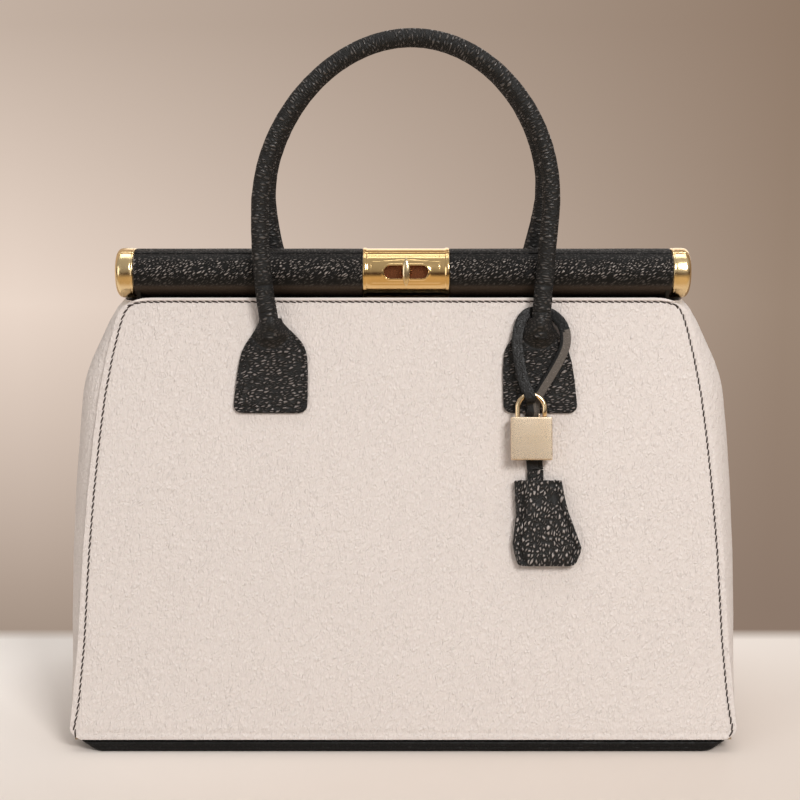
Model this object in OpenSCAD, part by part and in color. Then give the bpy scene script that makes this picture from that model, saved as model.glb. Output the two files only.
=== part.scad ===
/* [Body] */
// Width of the front and rear panels along the base
body_w = 354; // [320:1:380]
// Depth of the body at the base
body_d = 160; // [150:1:170]
// Height of the upper edge of the panels
body_h = 232; // [226:1:238]
// Distance between the upper edges of the two panels
mouth_d = 27; // [26:0.5:29]
// Thickness of the panel leather
leather_t = 1.6; // [1.2:0.1:1.8]
// Thickness of the stiffening board
board_t = 1; // [0.8:0.1:1.2]
// Thickness of the lining cloth
lining_t = 0.6; // [0.4:0.1:0.8]

/* [Base] */
// Height of the leather base strip
base_h = 5.6; // [5:0.1:6.4]
// How far the ends of the base strip slope inwards at the floor
base_slope = 13; // [6:1:16]
// Thickness of the board in the base
base_board_t = 2; // [1.4:0.1:2.4]

/* [Gussets] */
// How far the side walls bulge past their seams
gusset_bulge = 15.5; // [8:0.5:18]
// How far a gusset tucks in behind the edge of a panel
gusset_tuck = 4; // [3:0.5:4]

/* [Frame bar] */
// Length of the round bar over its caps
bar_len = 312.4; // [300:0.2:316]
// Outer radius of the leather on the bar
bar_r = 13.4; // [13:0.1:13.8]
// Height of the axis of the bar above the upper edges of the panels
bar_rise = 13; // [12.4:0.1:13.6]
// Thickness of the leather on the bar
bar_leather_t = 1.4; // [1.2:0.1:1.5]
// Wall of the half tube under the leather
bar_wall = 1.2; // [1:0.1:1.4]
// Elevation of the seam between the halves, seen from the front
seam_angle = 60; // [56:1:64]
// Length of an end cap
cap_len = 10; // [8:0.5:12]
// Outer radius of an end cap
cap_r = 13.6; // [13.4:0.1:14]
// Thickness of the sheet metal arms
arm_t = 1.8; // [1.4:0.1:2]
// Drop of the pivot, where the arms cross, below the upper edges of the panels
pivot_drop = 64; // [60:0.5:68]

/* [Clasp] */
// Length of the gold sleeve along the bar
clasp_w = 46.8; // [42:0.2:50]
// Sideways place of the clasp from the middle
clasp_x = 1.6; // [-4:0.1:4]
// Upward tilt of the knob from level
clasp_tilt = 9; // [6:1:12]
// Length of the oval slot
slot_w = 24; // [20:0.2:26]
// Height of the oval slot
slot_h = 7.1; // [6.4:0.1:7.6]
// Length of the turning knob
knob_l = 15.9; // [13:0.1:17]
// Width of the turning knob
knob_w = 4.6; // [4:0.1:5.4]
// Radius of the spindle of the knob
spindle_r = 1.5; // [1.3:0.1:1.6]

/* [Handles] */
// Radius of the arch of a handle at the middle of the roll
hoop_r = 77.9; // [74:0.1:80]
// Radius of the rolled handle
roll_r = 4.65; // [4.2:0.05:4.8]
// Radius of the filler cord in the roll
filler_r = 3.1; // [2.6:0.1:3.4]
// Height of the centre of the arch above the axis of the bar
hoop_rise = 48; // [40:0.5:56]
// Distance of a handle from the middle of the bag, level with the bar
handle_y = 19; // [18.8:0.1:20]
// Inward lean of a handle
handle_lean = 5; // [4:0.5:6]
// Sideways shift of the front handle with its tabs
front_shift = 1.2; // [0:0.1:2]
// How far the middle of a tab lies inside the arch of its handle
tab_inset = 5.4; // [4.4:0.1:6.4]
// Width of a tab
tab_w = 39.4; // [37:0.2:41]
// Length of a tab along the panel
tab_l = 50.6; // [49:0.2:52]
// Thickness of a tab
tab_t = 1.8; // [1.4:0.1:1.8]

/* [Charm strap] */
// Width of the strap
strap_w = 6; // [5:0.1:6.2]
// Thickness of the strap
strap_t = 0.8; // [0.6:0.1:0.8]

/* [Padlock] */
// Width of the padlock case
case_w = 22; // [20:0.2:23]
// Height of the padlock case
case_h = 23; // [21:0.2:24]
// Thickness of the padlock case
case_t = 6.4; // [6:0.1:7]
// Distance between the two legs of the shackle
leg_gap = 14.4; // [13.6:0.1:14.8]
// Radius of the wire of the shackle
wire_r = 1.35; // [1.2:0.05:1.4]
// Height of the shackle above the case
shackle_h = 13.4; // [13:0.1:14]
// Distance that the unlocked case drops
case_drop = 3; // [2.6:0.1:3]

/* [Clochette] */
// Greatest width of the leather bell
bell_w = 36.6; // [34:0.2:38]
// Length of the leather bell
bell_l = 46; // [43:0.2:48]
// Thickness of one leaf of the bell
leaf_t = 1.2; // [1:0.1:1.4]
// Depth of the space between the leaves
pouch_d = 2.2; // [2.1:0.1:2.6]

/* [Hidden] */

$fn = 64;
// Gap between pieces that move past each other
gap = 0.3;
// Gap round a shaft that turns or slides in its hole
shaft_gap = 0.04;
// Gap round a piece that is pressed or glued into its seat
seat_gap = 0.02;
// How far a cut runs past what it cuts
over = 1;
// A length that reaches past the whole bag
reach = 2 * body_w;

// Slope of the panels
panel_run = (body_d - mouth_d) / 2;
panel_rise = body_h - base_h;
panel_tilt = atan(panel_run / panel_rise);
panel_len = norm([panel_run, panel_rise]);
panel_t = leather_t + board_t + lining_t;
// The lowest edge of a panel starts just above the base
panel_foot = panel_t * tan(panel_tilt) + gap;
// Half widths of a panel as shares of half the base width, by share of the height
side_shares = [
    [1, 0], [0.997, 0.04], [0.990, 0.10], [0.978, 0.22], [0.968, 0.42], [0.956, 0.56],
    [0.942, 0.68], [0.927, 0.78], [0.906, 0.87], [0.880, 0.95], [0.868, 0.985], [0.850, 1]
];
// The board and the lining end below the hem, as shares of the height
board_top_share = 0.93;
lining_top_share = 0.955;
// The board and the lining stay this far inside the edge of the leather
board_inset = 3;
lining_inset = 2;

// Half width of a panel at a share of its height
function panel_half(share) = body_w / 2 * lookup(share, [for (p = side_shares) [p[1], p[0]]]);

// The base
board_edge = 6;
lining_edge = board_edge + lining_t;
base_board_d = body_d - 2 * (panel_t / cos(panel_tilt) + gap + lining_t);

// The side walls
gusset_rows = 10;
gusset_cols = 10;
gusset_top = body_h - 5 * gap;
// Bulge of a side wall at shares of its height, as a share of the greatest bulge
bulge_shares = [[0, 0.05], [0.1, 0.55], [0.3, 0.95], [0.55, 1], [0.8, 0.95], [0.9, 0.72], [1, 0.42]];
bulge_power = 2.4;
// Above this share of the height a side wall keeps its width
gusset_top_share = 0.95;

// The frame bar
bar_z = body_h + bar_rise;
core_r = bar_r - bar_leather_t;
core_bore = core_r - bar_wall;
sleeve_bore = core_r + seat_gap;
split_gap = gap;
cap_round = 2.4;
cap_wall = 1.6;
cap_y0 = bar_len / 2 - cap_len;
// Hinge line of the leather strip between a panel and its half of the bar
fold_inset = 2;
fold_y = mouth_d / 2 - fold_inset;
// Height of the raised rims of the clasp above its sleeve
clasp_rim_h = 0.5;
strip_t = 1.2;
strip_w = 276;
strip_reach = 5.5;
strip_top_y = fold_y - strip_reach;
strip_top_z = bar_z - sqrt(pow(bar_r + clasp_rim_h + gap, 2) - pow(strip_top_y, 2));

// The arms
pivot_z = body_h - pivot_drop;
arm_y = 8.6;
arm_neck_z = body_h;
arm_top_y = 8.9;
arm_top_z = bar_z - 3.6;
arm_half = 1.6;
arm_eye_half = 3.4;
eye_r = 6.8;
pivot_r = 2;
open_pivot_gap = 2.1;
arm_gap = 0.4;
front_arm_x = 142.6;
rear_arm_x = front_arm_x - arm_gap - arm_t;
pin_head_r = 5.6;
pin_head_t = 1.2;
arm_slot_gap = 0.05;

// The clasp
plate_step = 0.1;
plate_r = bar_r - plate_step;
plate_rim_w = 2.2;
well_floor = 7.5;
well_floor_t = 1.2;
well_top = 10.6;
well_wall = 1.2;
well_room = 0.7;
well_w = slot_w + 2 * (well_wall + well_room);
well_h = slot_h + 2 * (well_wall + well_room);
knob_rise = 0.9;
knob_base_z = plate_r + knob_rise;
knob_t = 3.2;
knob_neck_r = 2.1;
collar_r = 3.6;
collar_t = 0.8;
clip_t = 0.6;
clip_r = 3;
cam_l = 11;
cam_w = 4.4;
cam_t = 1.4;
cam_z = -7;
spindle_end = 0.2;
striker_t = 1.2;
striker_w = 36;
window_room = 1.8;
striker_window_w = cam_l + 2 * window_room;
striker_window_h = cam_w + 2 * window_room;

// The handles
leg_foot = -9;
leg_in = 3.1;
leg_drop = hoop_rise - leg_foot;
leg_curve_r = (pow(leg_drop, 2) + pow(leg_in, 2)) / (2 * leg_in);
leg_turn = asin(leg_drop / leg_curve_r);
neck_r = 5;
// The neck and the roll meet at an angle, so the neck stops short
neck_room = 1.5;
// Half the distance between the middles of a pair of tabs, and the place of their lower edges
tab_x = hoop_r - tab_inset;
tab_drop = 61.5;
tab_v = panel_len - tab_drop;
flare_v = tab_v + 0.949 * tab_l;
flare_d = 7;
tab_shares = [
    [0.80, 0], [0.93, 0.02], [0.99, 0.07], [1, 0.15], [0.985, 0.35], [0.95, 0.55],
    [0.90, 0.70], [0.80, 0.80], [0.60, 0.90], [0.36, 0.99], [0.30, 1]
];
flare_mid_v = tab_v + 0.808 * tab_l;
flare_mid_x = 5;
flare_mid_h = 4.6;
flare_low_v = tab_v + 0.68 * tab_l;
flare_low_x = 6;
flare_low_h = 1.7;
flare_round = 3;

// The charm strap, in the plane of the front panel: across, up, out
charm_x = front_shift + tab_x;
loop_rise = 6.7;
loop_v = flare_v + loop_rise;
strap_hang = 57.3;
lock_shift = 5.4;
lock_x = charm_x - lock_shift;
case_back = 3.3;
lock_d = case_back + case_t / 2;
case_top = loop_v - strap_hang;
case_bottom = case_top - case_h;
arch_top = case_top + shackle_h;
cross_drop = 2.2;
cross_v = arch_top - 2 * wire_r - cross_drop;
strap_lift = 0.5;
strap_layer = 0.3;
under_d = strap_t / 2 + strap_lift;
over_d = under_d + strap_t + strap_layer;
front_d = lock_d + wire_r + gap + strap_t / 2;
strap_tail = 1.9;
strap_end_v = case_bottom - case_drop - strap_tail;
// Half the width of the eye that the strap makes, and how far its strands part below the case
loop_half = 13.6;
strand_shift = 1.4;
// Four stretches of the strap: across as a share of half the eye, the share of the stretch's height,
// out as a share of the way to the front of the shackle, and the share of the strap's width
behind_shares = [[0.18, 0], [0.14, 0.18], [0.07, 0.9], [0.07, 0.99]];
window_shares = [
    [0.05, 0.28, 0.45, 1], [0.037, 0.59, 0.475, 0.88], [0.022, 0.81, 0.485, 0.88], [0, 0.95, 0.55, 0.88],
    [0, 1, 0.655, 0.88], [-0.007, 1, 0.865, 0.88], [-0.015, 1.06, 0.965, 0.88]
];
front_shares = [
    [-0.03, 0.037, 1, 1], [-0.103, 0.10, 1, 1], [-0.25, 0.182, 0.924, 1], [-0.412, 0.379, 0.772, 1],
    [-0.50, 0.543, 0.632, 1], [-0.52, 0.686, 0.49, 1], [-0.441, 0.809, 0.34, 1], [-0.309, 0.912, 0.3, 1],
    [-0.059, 0.982, 0.27, 1], [0.324, 1, 0.117, 1]
];
rear_shares = [
    [0.691, 0.993, 0.235, 1], [1.015, 0.949, 0.31, 1], [1.279, 0.873, 0.34, 1], [1.397, 0.768, 0.386, 1],
    [1.338, 0.653, 0.433, 1], [1.088, 0.524, 0.421, 1], [0.765, 0.391, 0.398, 1], [0.441, 0.269, 0.363, 1],
    [0.221, 0.175, 0.352, 1], [0.147, 0.042, 0.34, 1]
];

// The padlock
case_round = 0.9;
long_leg = 17;
leg_clear = 0.4;
short_leg = case_drop - leg_clear;
leg_floor = 3.4;
plug_r = 2.6;
plug_l = 8;
keyway_w = 0.8;
keyway_h = 3.4;
keyway_d = 3;

// The clochette, hung from the foot of the strap
fob_shift = 2.9;
fob_x = charm_x - fob_shift;
fob_r = strap_w / 2;
fob_v = strap_end_v - gap - fob_r;
fob_t = 0.9;
fob_lift = 0.15;
fob_d = gap + leaf_t + fob_lift;
fob_l = 26;
key_t = 0.9;
key_bow_r = 5;
key_hole_r = 1.9;
key_shaft_w = 2.4;
key_l = 24;
key_bit_w = 3;
bell_drop = 2.8;
bell_v = fob_v - bell_drop;
rim_w = 2.6;
// Outline of the bell as shares of its width and of its length, from the top left
bell_shares = [
    [-0.309, 0], [0.372, 0.018], [0.468, -0.36], [0.66, -0.797], [0.56, -0.95], [0.50, -0.967],
    [-0.125, -0.982], [-0.279, -0.915], [-0.339, -0.73], [-0.287, -0.406]
];

// A value part of the way from one to another
function lerp(a, b, t) = a + (b - a) * t;

module on_front() {
    translate([0, -body_d / 2, base_h])
        rotate([90 - panel_tilt, 0, 0])
            children();
}

module on_rear() {
    mirror([0, 1, 0])
        on_front()
            children();
}

module on_bar() {
    translate([0, 0, bar_z])
        rotate([0, 90, 0])
            children();
}

module on_lock() {
    translate([clasp_x, 0, bar_z])
        rotate([90 - clasp_tilt, 0, 0])
            children();
}

module on_handle(shift) {
    translate([shift, -handle_y, bar_z])
        rotate([90 - handle_lean, 0, 0])
            children();
}

// Everything in front of the seam of the bar, or behind it
module half_space(side) {
    translate([0, 0, bar_z])
        rotate([90 - seam_angle, 0, 0])
            translate([-reach / 2, side > 0 ? split_gap / 2 : -reach - split_gap / 2, -reach / 2])
                cube(reach);
}

module half_bar(side) {
    intersection() {
        children();
        half_space(side);
    }
}

// A flat plate in the plane of the arms, from a given place across the bag
module side_plate(x, t) {
    translate([x, 0, 0])
        rotate([90, 0, 90])
            linear_extrude(t)
                children();
}

module both_sides() {
    children();
    mirror([1, 0, 0])
        children();
}

// A round rod between two points
module rod(a, b, r) {
    d = b - a;
    translate(a)
        rotate([0, acos(d[2] / norm(d)), atan2(d[1], d[0])])
            cylinder(h = norm(d), r = r);
}

// Outline of a panel, drawn in by an inset and ended at a share of the height
module panel_outline(inset, foot, top_share) {
    rows = [for (p = side_shares) if (p[1] <= top_share) p];
    left = [for (p = rows) [-body_w / 2 * p[0] + inset, max(foot, p[1] * panel_len)]];
    right = [for (i = [len(left) - 1 : -1 : 0]) [-left[i][0], left[i][1]]];
    cap = top_share < 1
        ? [[-panel_half(top_share) + inset, top_share * panel_len],
           [panel_half(top_share) - inset, top_share * panel_len]]
        : [];
    polygon(concat(left, cap, right));
}

module panel_skin() {
    translate([0, 0, -leather_t])
        linear_extrude(leather_t)
            panel_outline(0, panel_foot, 1);
}

module panel_stiffener() {
    translate([0, 0, -leather_t - board_t])
        linear_extrude(board_t)
            panel_outline(board_inset, panel_foot, board_top_share);
}

module panel_cloth() {
    translate([0, 0, -panel_t])
        linear_extrude(lining_t)
            panel_outline(lining_inset, panel_foot, lining_top_share);
}

// Leather strip that runs from the upper edge of a panel in under its half of the bar
module hinge_strip() {
    side_plate(-strip_w / 2, strip_w)
        polygon([
            [-fold_y - strip_t, body_h + seat_gap], [-fold_y, body_h + seat_gap],
            [-strip_top_y, strip_top_z - strip_t], [-strip_top_y, strip_top_z],
            [-fold_y - strip_t, body_h + strip_t]
        ]);
}

// Place of a side wall at row share u and at column share w, drawn in by a depth
function gusset_point(u, w, depth) =
    let (z = lerp(base_h, gusset_top, u))
    let (v = (z - base_h) / panel_rise)
    let (edge = body_d / 2 - v * panel_run - (panel_t + gap) / cos(panel_tilt))
    let (x = panel_half(min(v, gusset_top_share)) - gusset_tuck)
    let (swell = gusset_bulge * lookup(u, bulge_shares) * (1 - pow(abs(w), bulge_power)))
    [x + swell - depth, edge * w, z];

module gusset_shell(depth, t) {
    rows = gusset_rows + 1;
    cols = gusset_cols + 1;
    sheet = rows * cols;
    function at(i, j, k) = k * sheet + i * cols + j;
    points = [
        for (k = [0, 1])
            for (i = [0 : gusset_rows])
                for (j = [0 : gusset_cols])
                    gusset_point(i / gusset_rows, 2 * j / gusset_cols - 1, depth + k * t)
    ];
    outer = [for (i = [0 : gusset_rows - 1]) for (j = [0 : gusset_cols - 1])
        [at(i, j, 0), at(i + 1, j, 0), at(i + 1, j + 1, 0), at(i, j + 1, 0)]];
    inner = [for (i = [0 : gusset_rows - 1]) for (j = [0 : gusset_cols - 1])
        [at(i, j, 1), at(i, j + 1, 1), at(i + 1, j + 1, 1), at(i + 1, j, 1)]];
    front = [for (i = [0 : gusset_rows - 1])
        [at(i, 0, 0), at(i, 0, 1), at(i + 1, 0, 1), at(i + 1, 0, 0)]];
    rear = [for (i = [0 : gusset_rows - 1])
        [at(i, gusset_cols, 0), at(i + 1, gusset_cols, 0), at(i + 1, gusset_cols, 1), at(i, gusset_cols, 1)]];
    foot = [for (j = [0 : gusset_cols - 1])
        [at(0, j, 0), at(0, j + 1, 0), at(0, j + 1, 1), at(0, j, 1)]];
    top = [for (j = [0 : gusset_cols - 1])
        [at(gusset_rows, j, 0), at(gusset_rows, j, 1), at(gusset_rows, j + 1, 1), at(gusset_rows, j + 1, 0)]];
    polyhedron(points, concat(outer, inner, front, rear, foot, top), convexity = 4);
}

module base_cover() {
    color("#1c1a1a")
        translate([0, body_d / 2, 0])
            rotate([90, 0, 0])
                linear_extrude(body_d)
                    polygon([
                        [-body_w / 2 + base_slope, 0], [body_w / 2 - base_slope, 0],
                        [body_w / 2, base_h], [-body_w / 2, base_h]
                    ]);
}

module base_board() {
    color("#8a7355")
        translate([-body_w / 2 + board_edge, -base_board_d / 2, base_h])
            cube([body_w - 2 * board_edge, base_board_d, base_board_t]);
}

module base_lining() {
    color("#4a3a2c")
        translate([-body_w / 2 + lining_edge, -base_board_d / 2, base_h + base_board_t])
            cube([body_w - 2 * lining_edge, base_board_d - lining_t, lining_t]);
}

module right_gusset() {
    color("#e2d6cb")
        gusset_shell(0, leather_t);
}

module left_gusset() {
    color("#e2d6cb")
        mirror([1, 0, 0])
            gusset_shell(0, leather_t);
}

module gusset_cloth() {
    difference() {
        gusset_shell(leather_t, lining_t);
        translate([-reach / 2, -reach / 2, -reach + base_h + base_board_t + lining_t])
            cube(reach);
    }
}

module right_gusset_lining() {
    color("#4a3a2c")
        gusset_cloth();
}

module left_gusset_lining() {
    color("#4a3a2c")
        mirror([1, 0, 0])
            gusset_cloth();
}

module front_panel() {
    color("#e2d6cb")
        on_front() panel_skin();
}

module rear_panel() {
    color("#e2d6cb")
        on_rear() panel_skin();
}

module front_board() {
    color("#8a7355")
        on_front() panel_stiffener();
}

module rear_board() {
    color("#8a7355")
        on_rear() panel_stiffener();
}

module front_lining() {
    color("#4a3a2c")
        on_front() panel_cloth();
}

module rear_lining() {
    color("#4a3a2c")
        on_rear() panel_cloth();
}

module front_hinge_strip() {
    color("#1c1a1a")
        hinge_strip();
}

module rear_hinge_strip() {
    color("#1c1a1a")
        mirror([0, 1, 0]) hinge_strip();
}

// Where the roll of a handle rises from its tab, and where it meets the arch
neck_low = [0, -body_d / 2 + flare_v * sin(panel_tilt) - flare_d * cos(panel_tilt),
            base_h + flare_v * cos(panel_tilt) + flare_d * sin(panel_tilt)];
neck_high = [0, -handle_y + leg_foot * sin(handle_lean), bar_z + leg_foot * cos(handle_lean)];
leg_foot_x = hoop_r - leg_in;

// A tab lies flat on the panel and swells into the roll of the handle
module tab(x, side) {
    half = [for (p = tab_shares) [p[0] * tab_w / 2, tab_v + p[1] * tab_l]];
    other = [for (i = [len(half) - 1 : -1 : 0]) [-half[i][0], half[i][1]]];
    on_front()
        translate([x, 0, 0])
            linear_extrude(tab_t)
                polygon(concat(half, other));
    hull() {
        on_front()
            for (i = [-1, 1]) {
                translate([x + i * flare_mid_x, flare_mid_v, tab_t / 2])
                    cylinder(h = flare_mid_h, r1 = flare_round, r2 = flare_round / 2, $fn = 16);
                translate([x + i * flare_low_x, flare_low_v, tab_t / 2])
                    cylinder(h = flare_low_h, r1 = flare_round, r2 = flare_round / 2, $fn = 16);
            }
        neck_disc(x, side, 0, $fn = 32);
    }
}

// A thin disc across the roll, part of the way from the tab to the arch
module neck_disc(x, side, share) {
    low = neck_low + [x, 0, 0];
    high = neck_high + [x + side * (leg_foot_x - tab_x), 0, 0];
    d = (high - low) / norm(high - low);
    p = lerp(low, high, share);
    rod(p - d * seat_gap, p, neck_r);
}

module neck(x, side) {
    low = neck_low + [x, 0, 0];
    high = neck_high + [x + side * (leg_foot_x - tab_x), 0, 0];
    d = (high - low) / norm(high - low);
    rod(low, high - d * neck_room, neck_r);
}

module front_left_tab() {
    color("#1c1a1a") tab(front_shift - tab_x, -1);
}

module front_right_tab() {
    color("#1c1a1a") tab(front_shift + tab_x, 1);
}

module front_left_neck() {
    color("#1c1a1a") neck(front_shift - tab_x, -1);
}

module front_right_neck() {
    color("#1c1a1a") neck(front_shift + tab_x, 1);
}

module rear_left_tab() {
    color("#1c1a1a") mirror([0, 1, 0]) tab(-tab_x, -1);
}

module rear_right_tab() {
    color("#1c1a1a") mirror([0, 1, 0]) tab(tab_x, 1);
}

module rear_left_neck() {
    color("#1c1a1a") mirror([0, 1, 0]) neck(-tab_x, -1);
}

module rear_right_neck() {
    color("#1c1a1a") mirror([0, 1, 0]) neck(tab_x, 1);
}

// A round tube along the bar
module bar_tube(r, bore, x0, x1) {
    on_bar()
        translate([0, 0, x0])
            difference() {
                cylinder(h = x1 - x0, r = r);
                translate([0, 0, -over])
                    cylinder(h = x1 - x0 + 2 * over, r = bore);
            }
}

// One arm: a blade from inside the half bar down to the eye at the crossing
module arm_blade(side, grow) {
    half = arm_half + grow;
    polygon([
        [side * arm_top_y - half, arm_top_z + grow], [side * arm_top_y + half, arm_top_z + grow],
        [side * arm_y + half, arm_neck_z], [arm_eye_half, pivot_z], [-arm_eye_half, pivot_z],
        [side * arm_y - half, arm_neck_z]
    ]);
}

module arm(side, x, bore) {
    side_plate(x, arm_t)
        difference() {
            union() {
                arm_blade(side, 0);
                translate([0, pivot_z])
                    circle(r = eye_r);
            }
            translate([0, pivot_z])
                circle(r = bore);
        }
}

module arm_slots(side, x) {
    both_sides()
        side_plate(x - arm_slot_gap, arm_t + 2 * arm_slot_gap)
            arm_blade(side, arm_slot_gap);
}

module bar_core(side, x) {
    half_bar(side)
        difference() {
            bar_tube(core_r, core_bore, -bar_len / 2 + cap_wall, bar_len / 2 - cap_wall);
            arm_slots(side, x);
        }
}

module bar_leather(side, x) {
    half_bar(side)
        difference() {
            union() {
                bar_tube(bar_r, sleeve_bore, -cap_y0, clasp_x - clasp_w / 2);
                bar_tube(bar_r, sleeve_bore, clasp_x + clasp_w / 2, cap_y0);
            }
            arm_slots(side, x);
        }
}

// A cup over one end of the bar, cut along the seam
module cap(side) {
    half_bar(side)
        on_bar()
            translate([0, 0, cap_y0])
                rotate_extrude()
                    difference() {
                        union() {
                            square([cap_r, cap_len - cap_round]);
                            square([cap_r - cap_round, cap_len]);
                            translate([cap_r - cap_round, cap_len - cap_round])
                                circle(r = cap_round);
                        }
                        translate([-over, -over])
                            square([sleeve_bore + over, cap_len - cap_wall + over]);
                        translate([-reach, -over])
                            square([reach, cap_len + 2 * over]);
                    }
}

module clasp_sleeve(side) {
    half_bar(side)
        union() {
            bar_tube(plate_r, sleeve_bore, clasp_x - clasp_w / 2, clasp_x + clasp_w / 2);
            bar_tube(plate_r + clasp_rim_h, sleeve_bore, clasp_x - clasp_w / 2,
                     clasp_x - clasp_w / 2 + plate_rim_w);
            bar_tube(plate_r + clasp_rim_h, sleeve_bore, clasp_x + clasp_w / 2 - plate_rim_w,
                     clasp_x + clasp_w / 2);
        }
}

module front_bar_core() {
    color("#9a9a98")
        difference() {
            bar_core(-1, front_arm_x);
            on_lock()
                translate([-well_w / 2 - seat_gap, -well_h / 2 - seat_gap, 0])
                    cube([well_w + 2 * seat_gap, well_h + 2 * seat_gap, bar_r + over]);
        }
}

module rear_bar_core() {
    color("#9a9a98")
        bar_core(1, rear_arm_x);
}

module front_bar_leather() {
    color("#1c1a1a")
        bar_leather(-1, front_arm_x);
}

module rear_bar_leather() {
    color("#1c1a1a")
        bar_leather(1, rear_arm_x);
}

module front_right_cap() {
    color("#c9973f") cap(-1);
}

module front_left_cap() {
    color("#c9973f") mirror([1, 0, 0]) cap(-1);
}

module rear_right_cap() {
    color("#c9973f") cap(1);
}

module rear_left_cap() {
    color("#c9973f") mirror([1, 0, 0]) cap(1);
}

module front_frame_arms() {
    color("#9a9a98")
        both_sides() arm(-1, front_arm_x, pivot_r + open_pivot_gap);
}

module rear_frame_arms() {
    color("#9a9a98")
        both_sides() arm(1, rear_arm_x, pivot_r + seat_gap);
}

// A pin with a head at each end holds the crossing of the arms
module pivot_pins() {
    color("#b9b9b6")
        both_sides()
            translate([rear_arm_x - pin_head_t, 0, pivot_z])
                rotate([0, 90, 0]) {
                    cylinder(h = 2 * arm_t + arm_gap + gap + 2 * pin_head_t, r = pivot_r);
                    cylinder(h = pin_head_t, r = pin_head_r);
                    translate([0, 0, 2 * arm_t + arm_gap + gap + pin_head_t])
                        cylinder(h = pin_head_t, r = pin_head_r);
                }
}

module slot_outline(w, h) {
    square([w - h, h], center = true);
    translate([(w - h) / 2, 0])
        circle(d = h);
    translate([-(w - h) / 2, 0])
        circle(d = h);
}

module front_clasp_plate() {
    color("#c9973f")
        difference() {
            clasp_sleeve(-1);
            on_lock()
                linear_extrude(bar_r + 2 * over)
                    slot_outline(slot_w, slot_h);
        }
}

module rear_clasp_plate() {
    color("#c9973f")
        clasp_sleeve(1);
}

// A cup behind the oval slot, with the bearing of the spindle in its floor
module lock_well() {
    color("#5a2a1c")
        on_lock()
            difference() {
                translate([-well_w / 2, -well_h / 2, well_floor])
                    cube([well_w, well_h, well_top - well_floor]);
                translate([-well_w / 2 + well_wall, -well_h / 2 + well_wall, well_floor + well_floor_t])
                    cube([well_w - 2 * well_wall, well_h - 2 * well_wall, well_top]);
                translate([0, 0, well_floor - over])
                    cylinder(h = well_floor_t + 2 * over, r = spindle_r + shaft_gap);
            }
}

module knob_outline() {
    arc_r = (pow(knob_l / 2, 2) + pow(knob_w / 2, 2)) / knob_w;
    intersection() {
        translate([arc_r - knob_w / 2, 0])
            circle(r = arc_r, $fn = 128);
        translate([knob_w / 2 - arc_r, 0])
            circle(r = arc_r, $fn = 128);
    }
}

module turn_knob() {
    well_back = well_floor + well_floor_t;
    color("#d8a850")
        on_lock() {
            translate([0, 0, knob_base_z])
                linear_extrude(knob_t)
                    knob_outline();
            translate([0, 0, well_back + shaft_gap])
                cylinder(h = knob_base_z + knob_t / 2 - well_back - shaft_gap, r = knob_neck_r);
            translate([0, 0, well_back + shaft_gap])
                cylinder(h = collar_t, r = collar_r);
            translate([0, 0, cam_z - cam_t - spindle_end])
                cylinder(h = well_back + collar_t - cam_z + cam_t + spindle_end, r = spindle_r);
        }
}

// A spring clip on the spindle behind the floor of the well
module knob_clip() {
    color("#b9b9b6")
        on_lock()
            translate([0, 0, well_floor - clip_t - shaft_gap])
                difference() {
                    cylinder(h = clip_t, r = clip_r);
                    translate([0, 0, -over])
                        cylinder(h = clip_t + 2 * over, r = spindle_r + seat_gap);
                }
}

// A bar across the end of the spindle, which grips behind the striker when turned
module latch_cam() {
    color("#b9b9b6")
        on_lock()
            translate([0, 0, cam_z - cam_t])
                difference() {
                    translate([-cam_l / 2, -cam_w / 2, 0])
                        cube([cam_l, cam_w, cam_t]);
                    translate([0, 0, -over])
                        cylinder(h = cam_t + 2 * over, r = spindle_r + seat_gap);
                }
}

// A plate inside the rear half with a window that lets the cam through
module striker_plate() {
    half = sqrt(pow(core_bore, 2) - pow(split_gap / 2 + striker_t, 2)) - seat_gap;
    color("#9a9a98")
        difference() {
            translate([clasp_x, 0, bar_z])
                rotate([90 - seam_angle, 0, 0])
                    translate([-striker_w / 2, split_gap / 2, -half])
                        cube([striker_w, striker_t, 2 * half]);
            translate([clasp_x - striker_window_w / 2, -bar_r, bar_z - striker_window_h / 2])
                cube([striker_window_w, 2 * bar_r, striker_window_h]);
        }
}

// The arch of a handle with its two legs, as one round solid
module hoop(r, extra) {
    translate([0, hoop_rise, 0])
        rotate_extrude(angle = 180)
            translate([hoop_r, 0])
                circle(r = r);
    foot_turn = leg_turn + extra / leg_curve_r * 180 / PI;
    head_turn = over / leg_curve_r * 180 / PI;
    both_sides()
        translate([hoop_r - leg_curve_r, hoop_rise, 0])
            rotate([0, 0, -foot_turn])
                rotate_extrude(angle = foot_turn + head_turn, $fn = 360)
                    translate([leg_curve_r, 0])
                        circle(r = r - seat_gap, $fn = 64);
}

module handle_leather(shift) {
    on_handle(shift)
        difference() {
            hoop(roll_r, 0);
            hoop(filler_r, over);
        }
}

module handle_filler(shift) {
    on_handle(shift)
        hoop(filler_r - seat_gap, 0);
}

module front_handle_leather() {
    color("#1c1a1a") handle_leather(front_shift);
}

module front_handle_filler() {
    color("#7d6a52") handle_filler(front_shift);
}

module rear_handle_leather() {
    color("#1c1a1a") mirror([0, 1, 0]) handle_leather(0);
}

module rear_handle_filler() {
    color("#7d6a52") mirror([0, 1, 0]) handle_filler(0);
}

// Rows of the strap's route behind the case, and rows of a stretch between two heights
function behind(shift, d) = [for (p = behind_shares)
    [lock_x + p[0] * loop_half + shift, lerp(strap_end_v, case_top, p[1]), d, 1]];
function stretch(shares, v0, v1) = [for (p = shares)
    [lock_x + p[0] * loop_half, lerp(v0, v1, p[1]), p[2] * front_d, p[3]]];
function reversed(rows) = [for (i = [len(rows) - 1 : -1 : 0]) rows[i]];

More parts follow.
